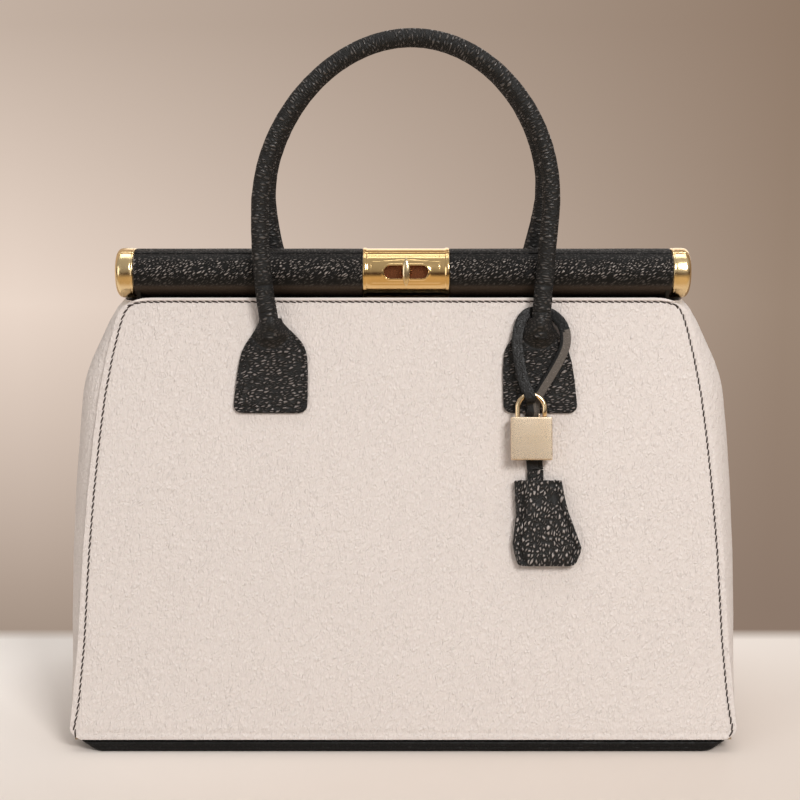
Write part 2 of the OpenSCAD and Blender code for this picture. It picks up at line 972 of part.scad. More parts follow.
// From its foot the strap runs up behind the case, out through the shackle, round the roll and back
strap_route = concat(
    behind(-strand_shift, over_d),
    stretch(window_shares, case_top, cross_v),
    stretch(front_shares, cross_v, loop_v),
    stretch(rear_shares, case_top, loop_v),
    reversed(behind(strand_shift, under_d))
);

function unit(v) = v / norm(v);
function step_of(path, i) =
    path[min(i + 1, len(path) - 1)] - path[max(i - 1, 0)];
function place(row) = [row[0], row[1], row[2]];

// A flat band along a route. Its flat side turns with the route and its edges stay level, and where the
// route runs almost straight out of the panel, the edges point sideways
level_share = 0.3;

module band(route, w, t) {
    path = [for (row = route) place(row)];
    last = len(route) - 1;
    function across(i) =
        let (d = unit(step_of(path, i)))
        let (flat = norm([d[0], d[1]]))
        flat > level_share ? unit([d[1], -d[0], 0]) : [1, 0, 0];
    function facing(i) = unit(cross(across(i), unit(step_of(path, i))));
    points = [
        for (i = [0 : last])
            for (c = [[-1, -1], [1, -1], [1, 1], [-1, 1]])
                path[i] + c[0] * w / 2 * route[i][3] * across(i) + c[1] * t / 2 * facing(i)
    ];
    sides = [for (i = [0 : last - 1]) for (k = [0 : 3])
        [4 * i + k, 4 * i + 4 + k, 4 * i + 4 + (k + 1) % 4, 4 * i + (k + 1) % 4]];
    ends = [[0, 1, 2, 3], [4 * last + 3, 4 * last + 2, 4 * last + 1, 4 * last]];
    polyhedron(points, concat(sides, ends), convexity = 6);
}

module charm_strap() {
    color("#1c1a1a")
        on_front()
            band(strap_route, strap_w, strap_t);
}

module padlock_shackle() {
    arch_r = leg_gap / 2;
    arch_v = arch_top - wire_r - arch_r;
    color("#d9b98c")
        on_front()
            translate([lock_x, 0, lock_d]) {
                translate([0, arch_v, 0])
                    rotate_extrude(angle = 180)
                        translate([arch_r, 0])
                            circle(r = wire_r);
                rod([-arch_r, case_top - long_leg, 0], [-arch_r, arch_v + seat_gap, 0], wire_r);
                rod([arch_r, case_top - short_leg, 0], [arch_r, arch_v + seat_gap, 0], wire_r);
            }
}

module case_outline() {
    w = case_w - 2 * case_round;
    h = case_h - 2 * case_round;
    translate([-w / 2, case_round])
        square([w, h]);
    translate([-case_w / 2, case_round])
        square([case_w, h]);
    translate([-w / 2, 0])
        square([w, case_h]);
    for (x = [-w / 2, w / 2], y = [case_round, case_h - case_round])
        translate([x, y])
            circle(r = case_round, $fn = 32);
}

module padlock_case() {
    bore = wire_r + shaft_gap;
    color("#d9b98c")
        on_front()
            translate([lock_x, 0, lock_d])
                difference() {
                    translate([0, case_bottom, -case_t / 2])
                        linear_extrude(case_t)
                            case_outline();
                    rod([-leg_gap / 2, case_bottom + leg_floor, 0], [-leg_gap / 2, case_top + over, 0], bore);
                    rod([leg_gap / 2, case_top - short_leg - gap, 0], [leg_gap / 2, case_top + over, 0],
                        bore);
                    rod([0, case_bottom - over, 0], [0, case_bottom + plug_l + shaft_gap, 0],
                        plug_r + shaft_gap);
                }
}

module padlock_plug() {
    color("#c9973f")
        on_front()
            translate([lock_x, case_bottom, lock_d])
                difference() {
                    rod([0, 0, 0], [0, plug_l, 0], plug_r);
                    translate([-keyway_h / 2, -over, -keyway_w / 2])
                        cube([keyway_h, keyway_d + over, keyway_w]);
                }
}

// Short strap that carries the key inside the bell
module fob_strap() {
    color("#1c1a1a")
        on_front()
            translate([fob_x, fob_v, fob_d]) {
                cylinder(h = fob_t, r = fob_r);
                translate([-fob_r, -fob_l, 0])
                    cube([strap_w, fob_l, fob_t]);
                translate([0, -fob_l + fob_r, 0])
                    cylinder(h = fob_t + key_t, r = key_hole_r - seat_gap);
            }
}

module fob_key() {
    color("#c9a15a")
        on_front()
            translate([fob_x, fob_v - fob_l + fob_r, fob_d + fob_t])
                linear_extrude(key_t)
                    difference() {
                        union() {
                            circle(r = key_bow_r);
                            translate([-key_shaft_w / 2, -key_l + key_bow_r])
                                square([key_shaft_w, key_l - key_bow_r]);
                            translate([0, -key_l + key_bow_r])
                                square([key_shaft_w / 2 + key_bit_w, key_bit_w]);
                        }
                        circle(r = key_hole_r);
                    }
}

bell_points = [for (p = bell_shares) [fob_x + p[0] * bell_w, bell_v + p[1] * bell_l]];

// One leaf of the bell with half of the two side seams, its flat at the given height
module leaf(flat, seam, seam_t) {
    right = [for (i = [1 : 4]) bell_points[i]];
    left = [bell_points[7], bell_points[8], bell_points[9], bell_points[0]];
    on_front() {
        translate([0, 0, flat])
            linear_extrude(leaf_t)
                polygon(bell_points);
        translate([0, 0, seam])
            linear_extrude(seam_t) {
                polygon(concat(right, [for (i = [3 : -1 : 0]) right[i] - [rim_w, 0]]));
                polygon(concat(left, [for (i = [3 : -1 : 0]) left[i] + [rim_w, 0]]));
            }
    }
}

module clochette_back() {
    color("#1c1a1a")
        leaf(gap, gap + leaf_t, pouch_d / 2);
}

module clochette_front() {
    color("#1c1a1a")
        leaf(gap + leaf_t + pouch_d, gap + leaf_t + pouch_d / 2, pouch_d / 2);
}

base_cover();
base_board();
base_lining();
left_gusset();
right_gusset();
left_gusset_lining();
right_gusset_lining();
front_panel();
front_board();
front_lining();
front_hinge_strip();
front_left_tab();
front_right_tab();
front_left_neck();
front_right_neck();
rear_panel();
rear_board();
rear_lining();
rear_hinge_strip();
rear_left_tab();
rear_right_tab();
rear_left_neck();
rear_right_neck();
front_bar_core();
front_bar_leather();
front_left_cap();
front_right_cap();
front_frame_arms();
front_clasp_plate();
lock_well();
rear_bar_core();
rear_bar_leather();
rear_left_cap();
rear_right_cap();
rear_frame_arms();
rear_clasp_plate();
striker_plate();
pivot_pins();
turn_knob();
knob_clip();
latch_cam();
front_handle_leather();
front_handle_filler();
rear_handle_leather();
rear_handle_filler();
charm_strap();
padlock_shackle();
padlock_case();
padlock_plug();
fob_strap();
fob_key();
clochette_back();
clochette_front();
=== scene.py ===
# %% [markdown]
# # A top handle bag with a round frame bar
# The bag has pale pebbled panels with dark stitching, a black leather covered bar that splits along its
# length, a gold turn clasp, two rolled handles on stitched tabs, and a padlock and key bell on a strap.
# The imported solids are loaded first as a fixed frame. Every piece below is made in metres in that frame.

# %% Load the solids
import math

import bmesh
import bpy
import numpy as np
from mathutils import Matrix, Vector, noise


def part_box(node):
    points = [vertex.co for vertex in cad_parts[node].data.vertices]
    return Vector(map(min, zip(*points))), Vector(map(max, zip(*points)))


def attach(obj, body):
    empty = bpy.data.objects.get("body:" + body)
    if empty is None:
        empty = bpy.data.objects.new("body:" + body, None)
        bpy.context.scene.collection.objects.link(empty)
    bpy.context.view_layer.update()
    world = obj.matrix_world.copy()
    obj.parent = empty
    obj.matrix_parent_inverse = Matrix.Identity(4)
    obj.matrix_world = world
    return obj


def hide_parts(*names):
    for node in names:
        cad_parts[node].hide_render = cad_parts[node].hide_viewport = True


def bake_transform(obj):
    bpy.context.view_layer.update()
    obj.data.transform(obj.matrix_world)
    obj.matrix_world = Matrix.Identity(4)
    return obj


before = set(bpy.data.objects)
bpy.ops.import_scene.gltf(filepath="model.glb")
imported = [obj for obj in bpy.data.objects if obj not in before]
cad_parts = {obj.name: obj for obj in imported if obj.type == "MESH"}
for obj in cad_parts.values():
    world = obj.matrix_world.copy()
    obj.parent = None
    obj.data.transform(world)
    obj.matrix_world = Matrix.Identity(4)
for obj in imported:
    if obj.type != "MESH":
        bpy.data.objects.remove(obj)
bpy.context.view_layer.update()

# %% [markdown]
# ## Sizes shared by the pieces
# The panels lean inwards, so their pieces are placed by three numbers in the plane of the panel: across,
# up the slope, and out from the leather. One function turns those into a point, for the front and, turned
# round, for the rear. The sizes repeat the part's source, in millimetres.

# %% Sizes and places
MM = 0.001
BODY_W, BODY_D, BODY_H, MOUTH_D, BASE_H = 354.0, 160.0, 232.0, 27.0, 5.6
PANEL_RUN, PANEL_RISE = (BODY_D - MOUTH_D) / 2, BODY_H - BASE_H
PANEL_LEN = math.hypot(PANEL_RUN, PANEL_RISE)
TILT = math.atan2(PANEL_RUN, PANEL_RISE)
LEATHER_T = 1.6
BAR_Z, BAR_R, BAR_LEN = 245.0, 13.4, 312.4
HANDLE_Y, HANDLE_LEAN, HOOP_R, HOOP_RISE, ROLL_R = 19.0, math.radians(5), 77.9, 48.0, 4.65
FRONT_SHIFT, TAB_X = 1.2, 72.5
CLASP_X, CLASP_TILT = 1.6, math.radians(9)


def front(x, v, d):
    """A point on the front panel: across, up the slope and out from the leather, in millimetres."""
    return Vector((x,
                   -BODY_D / 2 + v * math.sin(TILT) - d * math.cos(TILT),
                   BASE_H + v * math.cos(TILT) + d * math.sin(TILT))) * MM


def rear(x, v, d):
    """The same place on the rear panel."""
    p = front(x, v, d)
    return Vector((p.x, -p.y, p.z))


def outward(side):
    """The direction that the face of a panel looks."""
    return (side(0, 0, 1) - side(0, 0, 0)).normalized()


def lerp(a, b, t):
    """A value between a and b, by the share t of the way."""
    return a + (b - a) * t


def smooth(t):
    """A soft step from 0 to 1."""
    t = min(1.0, max(0.0, t))
    return t * t * (3 - 2 * t)


def turns(count):
    """Angles once round a circle."""
    return [2 * math.pi * k / count for k in range(count)]


print("panel slope", round(math.degrees(TILT), 2), "degrees, length", round(PANEL_LEN, 1), "mm")

# %% [markdown]
# ## Helpers for meshes
# Most pieces are grids of points that bend into a shape: a panel, a roll, a strap. One helper makes a
# grid into a mesh, one makes a tube or band from rings, and one applies modifiers and leaves plain data.

# %% Mesh helpers
def make(name, points, faces, shade=True):
    """A new object from points in metres and faces."""
    mesh = bpy.data.meshes.new(name)
    mesh.from_pydata([tuple(p) for p in points], [], faces)
    mesh.validate()
    obj = bpy.data.objects.new(name, mesh)
    bpy.context.scene.collection.objects.link(obj)
    outwards(obj)
    mesh.polygons.foreach_set("use_smooth", [shade] * len(mesh.polygons))
    return obj


def outwards(obj, merge=1e-7):
    """Merges doubles, and turns the faces of a closed mesh outwards."""
    bm = bmesh.new()
    bm.from_mesh(obj.data)
    bmesh.ops.remove_doubles(bm, verts=bm.verts, dist=merge)
    bmesh.ops.recalc_face_normals(bm, faces=bm.faces)
    bm.to_mesh(obj.data)
    bm.free()
    return obj


def grid_faces(rows, cols, wrap=False):
    """Faces of a grid of rows by cols points, closed across its columns if it wraps."""
    last = cols if wrap else cols - 1
    return [(i * cols + j, i * cols + (j + 1) % cols, (i + 1) * cols + (j + 1) % cols, (i + 1) * cols + j)
            for i in range(rows - 1) for j in range(last)]


def rings(name, sections):
    """A skin over a row of rings, each a list of points, with its ends capped."""
    cols, last = len(sections[0]), (len(sections) - 1) * len(sections[0])
    points = [p for ring in sections for p in ring]
    faces = grid_faces(len(sections), cols, wrap=True)
    return make(name, points, faces + [tuple(range(cols)), tuple(last + j for j in range(cols))])


def double_faces(rows, cols):
    """Faces of two grids of rows by cols points, one behind the other, closed round their rim."""
    count = rows * cols
    near = grid_faces(rows, cols)
    far = [tuple(count + i for i in reversed(f)) for f in near]
    rim = list(range(cols)) + [i * cols + cols - 1 for i in range(1, rows)]
    rim += [(rows - 1) * cols + j for j in range(cols - 2, -1, -1)]
    rim += [i * cols for i in range(rows - 2, 0, -1)]
    return near + far + [(a, b, b + count, a + count) for a, b in zip(rim, rim[1:] + rim[:1])]


def modifier(obj, kind, **values):
    """Adds a modifier with its settings."""
    m = obj.modifiers.new(kind.lower(), kind)
    for key, value in values.items():
        setattr(m, key, value)
    return m


def finish_mesh(obj):
    """Applies the modifiers and leaves plain mesh data."""
    graph = bpy.context.evaluated_depsgraph_get()
    graph.update()
    mesh = bpy.data.meshes.new_from_object(obj.evaluated_get(graph))
    obj.modifiers.clear()
    obj.data = mesh
    return obj


def cut(obj, cutter):
    """Takes a cutter's shape out of a piece."""
    modifier(obj, "BOOLEAN", operation="DIFFERENCE", object=cutter, solver="EXACT")
    finish_mesh(obj)
    bpy.data.objects.remove(cutter)


def paint(obj, *materials):
    """Gives a piece its finishes, and no others."""
    obj.data.materials.clear()
    for material in materials:
        obj.data.materials.append(material)


def join(name, objects):
    """Several meshes as one piece, which takes the finish of the first."""
    materials = [slot.material for slot in objects[0].material_slots]
    bm = bmesh.new()
    for o in objects:
        bm.from_mesh(o.data)
        bpy.data.objects.remove(o)
    mesh = bpy.data.meshes.new(name)
    bm.to_mesh(mesh)
    bm.free()
    for material in materials:
        mesh.materials.append(material)
    mesh.polygons.foreach_set("use_smooth", [True] * len(mesh.polygons))
    obj = bpy.data.objects.new(name, mesh)
    bpy.context.scene.collection.objects.link(obj)
    return obj


def turned(obj, name):
    """A copy of a front piece for the rear, turned half round the upright axis through the middle."""
    copy = obj.copy()
    copy.data = obj.data.copy()
    copy.name = name
    for v in copy.data.vertices:
        v.co.x, v.co.y = -v.co.x, -v.co.y
    bpy.context.scene.collection.objects.link(copy)
    return copy


print("helpers ready")

# %% [markdown]
# ## Camera, floor and light
# The photograph looks down on the bag by twelve degrees from a little over 80 cm. The floor is one pale
# sheet. Behind the bag it takes the taupe of the wall, with the softly lit patch on the left, but only as
# the camera, metal and glass see it, so that it puts no light on the bag. No upright wall stands there, so
# the bag can be looked at from behind.

# %% Camera
PITCH, FAR, FOCAL, AIM_Z, SHIFT_X = math.radians(12), 820.0, 1468.0, 173.7, -1.7
camera_data = bpy.data.cameras.new("camera")
camera_data.sensor_width = 36
camera_data.lens = FOCAL / 800 * 36
camera = bpy.data.objects.new("camera", camera_data)
camera.location = Vector((SHIFT_X, -FAR * math.cos(PITCH), AIM_Z + FAR * math.sin(PITCH))) * MM
camera.rotation_euler = (math.pi / 2 - PITCH, 0, 0)
bpy.context.scene.collection.objects.link(camera)
bpy.context.scene.camera = camera
bpy.context.scene.view_settings.view_transform = "Standard"
print("lens", round(camera_data.lens, 2))


# %% Node helpers
def new_material(name):
    """A material with its node tree, and its Principled shader."""
    material = bpy.data.materials.new(name)
    material.use_nodes = True
    return material, material.node_tree, material.node_tree.nodes["Principled BSDF"]


def node(tree, kind, **values):
    """A node with its settings, and with its inputs where a name is given with in_."""
    n = tree.nodes.new(kind)
    for key, value in values.items():
        if key.startswith("in_"):
            n.inputs[int(key[3:]) if key[3:].isdigit() else key[3:].replace("_", " ")].default_value = value
        else:
            setattr(n, key, value)
    return n


def math_node(tree, operation, a, b=None, c=None, clamp=False):
    """The result of a sum, whose terms are numbers or sockets."""
    n = node(tree, "ShaderNodeMath", operation=operation, use_clamp=clamp)
    for i, value in enumerate((a, b, c)):
        if value is None:
            continue
        if isinstance(value, (int, float)):
            n.inputs[i].default_value = value
        else:
            tree.links.new(value, n.inputs[i])
    return n.outputs[0]


def ramp(tree, factor, stops):
    """A colour ramp with stops of (place, colour)."""
    n = node(tree, "ShaderNodeValToRGB")
    elements = n.color_ramp.elements
    while len(elements) < len(stops):
        elements.new(0.5)
    for element, (place, colour) in zip(elements, stops):
        element.position = place
        element.color = (*colour, 1)
    tree.links.new(factor, n.inputs["Fac"])
    return n.outputs["Color"]


def blend_colours(tree, factor, a, b, mode="MIX"):
    """Two colours mixed by a factor, each given as a value or a socket."""
    n = node(tree, "ShaderNodeMix", data_type="RGBA", blend_type=mode)
    for value, socket in ((factor, n.inputs[0]), (a, n.inputs[6]), (b, n.inputs[7])):
        if isinstance(value, (int, float)):
            socket.default_value = value
        elif isinstance(value, tuple):
            socket.default_value = (*value, 1)
        else:
            tree.links.new(value, socket)
    return n.outputs[2]


def object_point(tree, scale=(1, 1, 1)):
    """Object coordinates, scaled along each axis."""
    where = node(tree, "ShaderNodeTexCoord").outputs["Object"]
    mapping = node(tree, "ShaderNodeMapping")
    mapping.inputs["Scale"].default_value = scale
    tree.links.new(where, mapping.inputs["Vector"])
    return mapping.outputs["Vector"]


print("node helpers ready")

# %% Floor
WALL_START, WALL_FADE = 0.082, 55.0     # the taupe begins this far behind the middle of the bag
EYE_Y, EYE_Z = camera.location.y, camera.location.z
MIRROR_START, MIRROR_FADE = -0.15, 9.0  # in front of this, metal mirrors a darker floor
MIRRORED_FLOOR = (0.52, 0.38, 0.21)
WALL_LEFT = [(0.04, (0.544, 0.438, 0.364)), (0.45, (0.83, 0.69, 0.595)), (0.90, (0.43, 0.337, 0.275)),
             (1.0, (0.35, 0.27, 0.215))]
WALL_RIGHT = [(0.04, (0.281, 0.20, 0.146)), (0.45, (0.324, 0.238, 0.178)), (0.93, (0.263, 0.19, 0.145))]
FLOOR_PALE = [(0.0, (0.60, 0.51, 0.445)), (0.45, (0.73, 0.645, 0.58)), (0.85, (0.96, 0.90, 0.85))]


def background_rays(tree):
    """1 for what the camera sees itself, or in metal and glass, and 0 for the light that falls on things."""
    path = node(tree, "ShaderNodeLightPath")
    mirrored = math_node(tree, "ADD", path.outputs["Is Glossy Ray"], path.outputs["Is Transmission Ray"])
    return math_node(tree, "ADD", path.outputs["Is Camera Ray"], mirrored, clamp=True)


def wall_colour(tree, across, drop):
    """The taupe wall: across runs from left to right, drop from above the horizon down to the floor."""
    low = math_node(tree, "MULTIPLY_ADD", drop, 2.2, 0.13, clamp=True)
    rightward = math_node(tree, "MULTIPLY_ADD", across, 1.9, 0.5, clamp=True)
    return blend_colours(tree, rightward, ramp(tree, low, WALL_LEFT), ramp(tree, low, WALL_RIGHT))


floor_material, tree, shader = new_material("floor_pale")
shader.inputs["Roughness"].default_value = 0.6
shader.inputs["Specular IOR Level"].default_value = 0.25
place = node(tree, "ShaderNodeSeparateXYZ")
tree.links.new(object_point(tree), place.inputs[0])
# Painted light on the floor: its colour is lighter towards the left and the back and darker towards the right
# and the front.
painted_floor_light = math_node(tree, "MULTIPLY_ADD", place.outputs["X"], -0.7,
                      math_node(tree, "MULTIPLY_ADD", place.outputs["Y"], 1.6, 0.62), clamp=True)
in_front = math_node(tree, "MULTIPLY_ADD", place.outputs["Y"], -MIRROR_FADE, MIRROR_START * MIRROR_FADE,
                     clamp=True)
mirrored = math_node(tree, "MULTIPLY", in_front, node(tree, "ShaderNodeLightPath").outputs["Is Glossy Ray"])
tree.links.new(blend_colours(tree, mirrored, ramp(tree, painted_floor_light, FLOOR_PALE), MIRRORED_FLOOR),
               shader.inputs["Base Color"])
beyond = math_node(tree, "MULTIPLY_ADD", place.outputs["Y"], WALL_FADE, -WALL_START * WALL_FADE, clamp=True)
seen = math_node(tree, "MULTIPLY", beyond, background_rays(tree))
away = math_node(tree, "MAXIMUM", math_node(tree, "SUBTRACT", place.outputs["Y"], EYE_Y), 0.1)
glow = node(tree, "ShaderNodeEmission")
tree.links.new(wall_colour(tree, math_node(tree, "DIVIDE", place.outputs["X"], away),
                           math_node(tree, "DIVIDE", EYE_Z, away)), glow.inputs["Color"])
mix = node(tree, "ShaderNodeMixShader")
tree.links.new(seen, mix.inputs[0])
tree.links.new(shader.outputs[0], mix.inputs[1])
tree.links.new(glow.outputs[0], mix.inputs[2])
tree.links.new(mix.outputs[0], tree.nodes["Material Output"].inputs["Surface"])

FLOOR_HALF = 6.0
CORNERS = ((-1, -1), (1, -1), (1, 1), (-1, 1))
floor = make("floor", [(x * FLOOR_HALF, y * FLOOR_HALF, 0) for x, y in CORNERS], [(0, 1, 2, 3)], shade=False)
paint(floor, floor_material)

# %% Light
DARK_BAND = (0.20, 0.13, 0.10)
SKY = [(0.40, (0.50, 0.43, 0.37)), (0.495, DARK_BAND), (0.555, DARK_BAND), (0.62, (0.80, 0.73, 0.65)),
       (0.80, (1.0, 0.97, 0.94)), (1.0, (1.25, 1.22, 1.18))]
world = bpy.data.worlds.new("studio")
bpy.context.scene.world = world
world.use_nodes = True
tree = world.node_tree
sky = tree.nodes["Background"]
sky.inputs["Strength"].default_value = 0.36
heading = node(tree, "ShaderNodeSeparateXYZ")
tree.links.new(node(tree, "ShaderNodeTexCoord").outputs["Generated"], heading.inputs[0])
level = math_node(tree, "MULTIPLY_ADD", heading.outputs["Z"], 0.5, 0.5)
tree.links.new(ramp(tree, level, SKY), sky.inputs["Color"])
backdrop = node(tree, "ShaderNodeBackground")
ahead = math_node(tree, "MAXIMUM", heading.outputs["Y"], 0.7)
below = math_node(tree, "MULTIPLY", heading.outputs["Z"], -1.0)
tree.links.new(wall_colour(tree, math_node(tree, "DIVIDE", heading.outputs["X"], ahead),
                           math_node(tree, "DIVIDE", below, ahead)), backdrop.inputs["Color"])
behind = math_node(tree, "MULTIPLY", heading.outputs["Y"], 4.0, clamp=True)
shown = math_node(tree, "MAXIMUM", node(tree, "ShaderNodeLightPath").outputs["Is Camera Ray"],
                  math_node(tree, "MULTIPLY", behind, background_rays(tree)))
mix = node(tree, "ShaderNodeMixShader")
tree.links.new(shown, mix.inputs[0])
tree.links.new(sky.outputs[0], mix.inputs[1])
tree.links.new(backdrop.outputs[0], mix.inputs[2])
tree.links.new(mix.outputs[0], tree.nodes["World Output"].inputs["Surface"])


def lamp(name, place, aim, size, watts, colour=(1, 1, 1)):
    """A soft rectangular lamp that points at a place."""
    data = bpy.data.lights.new(name, "AREA")
    data.shape = "RECTANGLE"
    data.size, data.size_y = size
    data.energy = watts
    data.color = colour
    obj = bpy.data.objects.new(name, data)
    obj.location = place
    obj.rotation_euler = (Vector(aim) - Vector(place)).to_track_quat("-Z", "Y").to_euler()
    bpy.context.scene.collection.objects.link(obj)
    return obj


lamp("key", (0.60, -1.15, 1.12), (0, 0, 0.18), (0.5, 0.5), 15.6, (1, 0.99, 0.98))
lamp("fill", (-1.2, -1.1, 0.6), (0, 0, 0.15), (0.9, 0.9), 4.0, (1, 0.99, 0.98))
lamp("top", (0.0, 0.1, 1.4), (0, 0, 0.2), (1.2, 0.5), 4.6)
lamp("back", (0.3, 1.3, 0.7), (0, 0, 0.15), (1.5, 1.0), 5.0)

# %% [markdown]
# ## Leather
# Pebbled leather is a skin of small pads between fine creases. A Voronoi pattern gives the creases, a
# noise bends them so that no cell looks drawn, and a finer noise gives the pores. The same recipe serves
# the pale body, the black trim and the smooth painted edges, with other sizes, colours and stretch.

# %% Leather recipe
TIGHT_HIDES = 0.97          # how far tight leather loses the lighter colour of its crests, partly wear and partly painted highlight


def leather(name, colour, crease_shade, cell, rough, depth, stretch=(1, 1, 1), turn=(0, 0, 0), pattern="Object",
            warp=1.3, gloss=0.5, mottle=0.05, pads=0.42, pore=0.3, dull=0.1, worn_highlight_colour=None,
            relief=0.55, swells=0.33, lighter_crests_from=0.30, glow=None):
    """Pebbled leather: the colours of its pads and creases, the cell size in mm and the depth in mm.

    Each cell is stretched along the turned axes. The pads are shinier than the creases by dull, and they
    rise by relief, above pores and wide swells. The creases take their own darker colour: painted shade in
    the grain. The crests may have a colour of their own where the pores rise above a threshold: partly dye
    rubbed thin, partly a painted highlight. A mesh may carry two values: tight, where the leather is
    stretched smooth, and a second value where the colour turns to glow, a warm painted reflection.
    """
    material, tree, shader = new_material(name)
    where = node(tree, "ShaderNodeTexCoord").outputs[pattern]
    mapping = node(tree, "ShaderNodeMapping", vector_type="TEXTURE")
    mapping.inputs["Scale"].default_value = stretch
    mapping.inputs["Rotation"].default_value = turn
    tree.links.new(where, mapping.inputs["Vector"])
    size = cell * MM
    bend = node(tree, "ShaderNodeTexNoise", in_Scale=0.45 / size, in_Detail=2.0)
    tree.links.new(mapping.outputs[0], bend.inputs["Vector"])
    centred = node(tree, "ShaderNodeVectorMath", operation="SUBTRACT")
    centred.inputs[1].default_value = (0.5, 0.5, 0.5)
    tree.links.new(bend.outputs["Color"], centred.inputs[0])
    pull = node(tree, "ShaderNodeVectorMath", operation="MULTIPLY_ADD")
    pull.inputs[1].default_value = (warp * size,) * 3
    tree.links.new(centred.outputs[0], pull.inputs[0])
    tree.links.new(mapping.outputs[0], pull.inputs[2])
    cells = node(tree, "ShaderNodeTexVoronoi", feature="DISTANCE_TO_EDGE", in_Scale=1 / size)
    tree.links.new(pull.outputs[0], cells.inputs["Vector"])
    pad = node(tree, "ShaderNodeMapRange", interpolation_type="SMOOTHSTEP", in_2=pads)
    tree.links.new(cells.outputs["Distance"], pad.inputs[0])
    pores = node(tree, "ShaderNodeTexNoise", in_Scale=2.2 / size, in_Detail=3.0, in_Roughness=0.6)
    tree.links.new(pull.outputs[0], pores.inputs["Vector"])
    swell = node(tree, "ShaderNodeTexNoise", in_Scale=swells / size, in_Detail=2.0)
    tree.links.new(pull.outputs[0], swell.inputs["Vector"])
    height = math_node(tree, "MULTIPLY_ADD", pad.outputs[0], relief,
                       math_node(tree, "MULTIPLY_ADD", pores.outputs[0], pore,
                                 math_node(tree, "MULTIPLY", swell.outputs[0], 0.9)))
    tight = node(tree, "ShaderNodeAttribute", attribute_name="tight", attribute_type="GEOMETRY")
    eased = math_node(tree, "MULTIPLY", height, math_node(tree, "SUBTRACT", 1.0, tight.outputs["Fac"]))
    bump = node(tree, "ShaderNodeBump", in_Strength=1.0, in_Distance=depth * MM)
    tree.links.new(eased, bump.inputs["Height"])
    tree.links.new(bump.outputs[0], shader.inputs["Normal"])
    broad = node(tree, "ShaderNodeTexNoise", in_Scale=16.0, in_Detail=3.0)
    tree.links.new(where, broad.inputs["Vector"])
    shade = math_node(tree, "MULTIPLY_ADD", broad.outputs[0], mottle * 2, 1 - mottle)
    skin = blend_colours(tree, pad.outputs[0], crease_shade, colour)
    # Painted highlight, partly wear: where the pores rise high, the crests take a lighter colour, partly dye
    # rubbed thin and partly light caught by the grain.
    if worn_highlight_colour:
        crest = node(tree, "ShaderNodeMapRange", interpolation_type="SMOOTHSTEP", in_1=pads * 0.35,
                     in_2=pads * 0.9)
        tree.links.new(cells.outputs["Distance"], crest.inputs[0])
        worn = node(tree, "ShaderNodeMapRange", interpolation_type="SMOOTHSTEP", in_1=lighter_crests_from,
                    in_2=lighter_crests_from + 0.22)
        tree.links.new(pores.outputs[0], worn.inputs[0])
        loose = math_node(tree, "MULTIPLY_ADD", tight.outputs["Fac"], -TIGHT_HIDES, 1.0)
        worn_and_highlit = math_node(tree, "MULTIPLY", crest.outputs[0], worn.outputs[0])
        worn_and_highlit = math_node(tree, "MULTIPLY", worn_and_highlit, loose)
        skin = blend_colours(tree, worn_and_highlit, skin, worn_highlight_colour)
    # Painted reflection: a warm colour painted where the mesh carries this value.
    if glow:
        warm = node(tree, "ShaderNodeAttribute", attribute_name="painted_reflection", attribute_type="GEOMETRY")
        skin = blend_colours(tree, warm.outputs["Fac"], skin, glow)
    tree.links.new(blend_colours(tree, 1.0, skin, shade, "MULTIPLY"), shader.inputs["Base Color"])
    rubbed = math_node(tree, "MULTIPLY_ADD", pad.outputs[0], -dull, rough + dull - 0.05)
    tree.links.new(math_node(tree, "MULTIPLY_ADD", pores.outputs[0], 0.1, rubbed),
                   shader.inputs["Roughness"])
    shader.inputs["Specular IOR Level"].default_value = gloss
    return material


def slant(degrees):
    """A turn in the plane of a panel: how far the grain rises to the right."""
    return 0, math.radians(-degrees), 0


# The crease colours are darker than the pads: painted shade in the creases of the grain.
PALE, PALE_CREASE_SHADE = (0.845, 0.775, 0.736), (0.745, 0.673, 0.63)
BLACK, BLACK_CREASE_SHADE = (0.0075, 0.0065, 0.006), (0.0012, 0.0011, 0.001)


def black_worn_and_highlit(name, cell, depth, worn_highlight_colour, stretch, rough=0.25, dull=0.4, lighter_crests_from=0.14, **more):
    """Black leather with a strong grain, whose crests have a lighter colour: partly worn, partly a painted
    highlight.
    """
    return leather(name, BLACK, BLACK_CREASE_SHADE, cell, rough, depth, stretch, worn_highlight_colour=worn_highlight_colour, dull=dull,
                   lighter_crests_from=lighter_crests_from, **more)


pale_leather = leather("pale_leather", PALE, PALE_CREASE_SHADE, 1.5, 0.55, 1.0, stretch=(1, 1.2, 2.0),
                       turn=slant(-17), gloss=0.35, mottle=0.02, pads=0.7, relief=0.5, swells=0.8, pore=0.15,
                       warp=1.4)
pale_edge = leather("pale_edge", (0.82, 0.755, 0.715), (0.78, 0.71, 0.665), 1.6, 0.5, 0.12, gloss=0.4,
                    mottle=0.02)
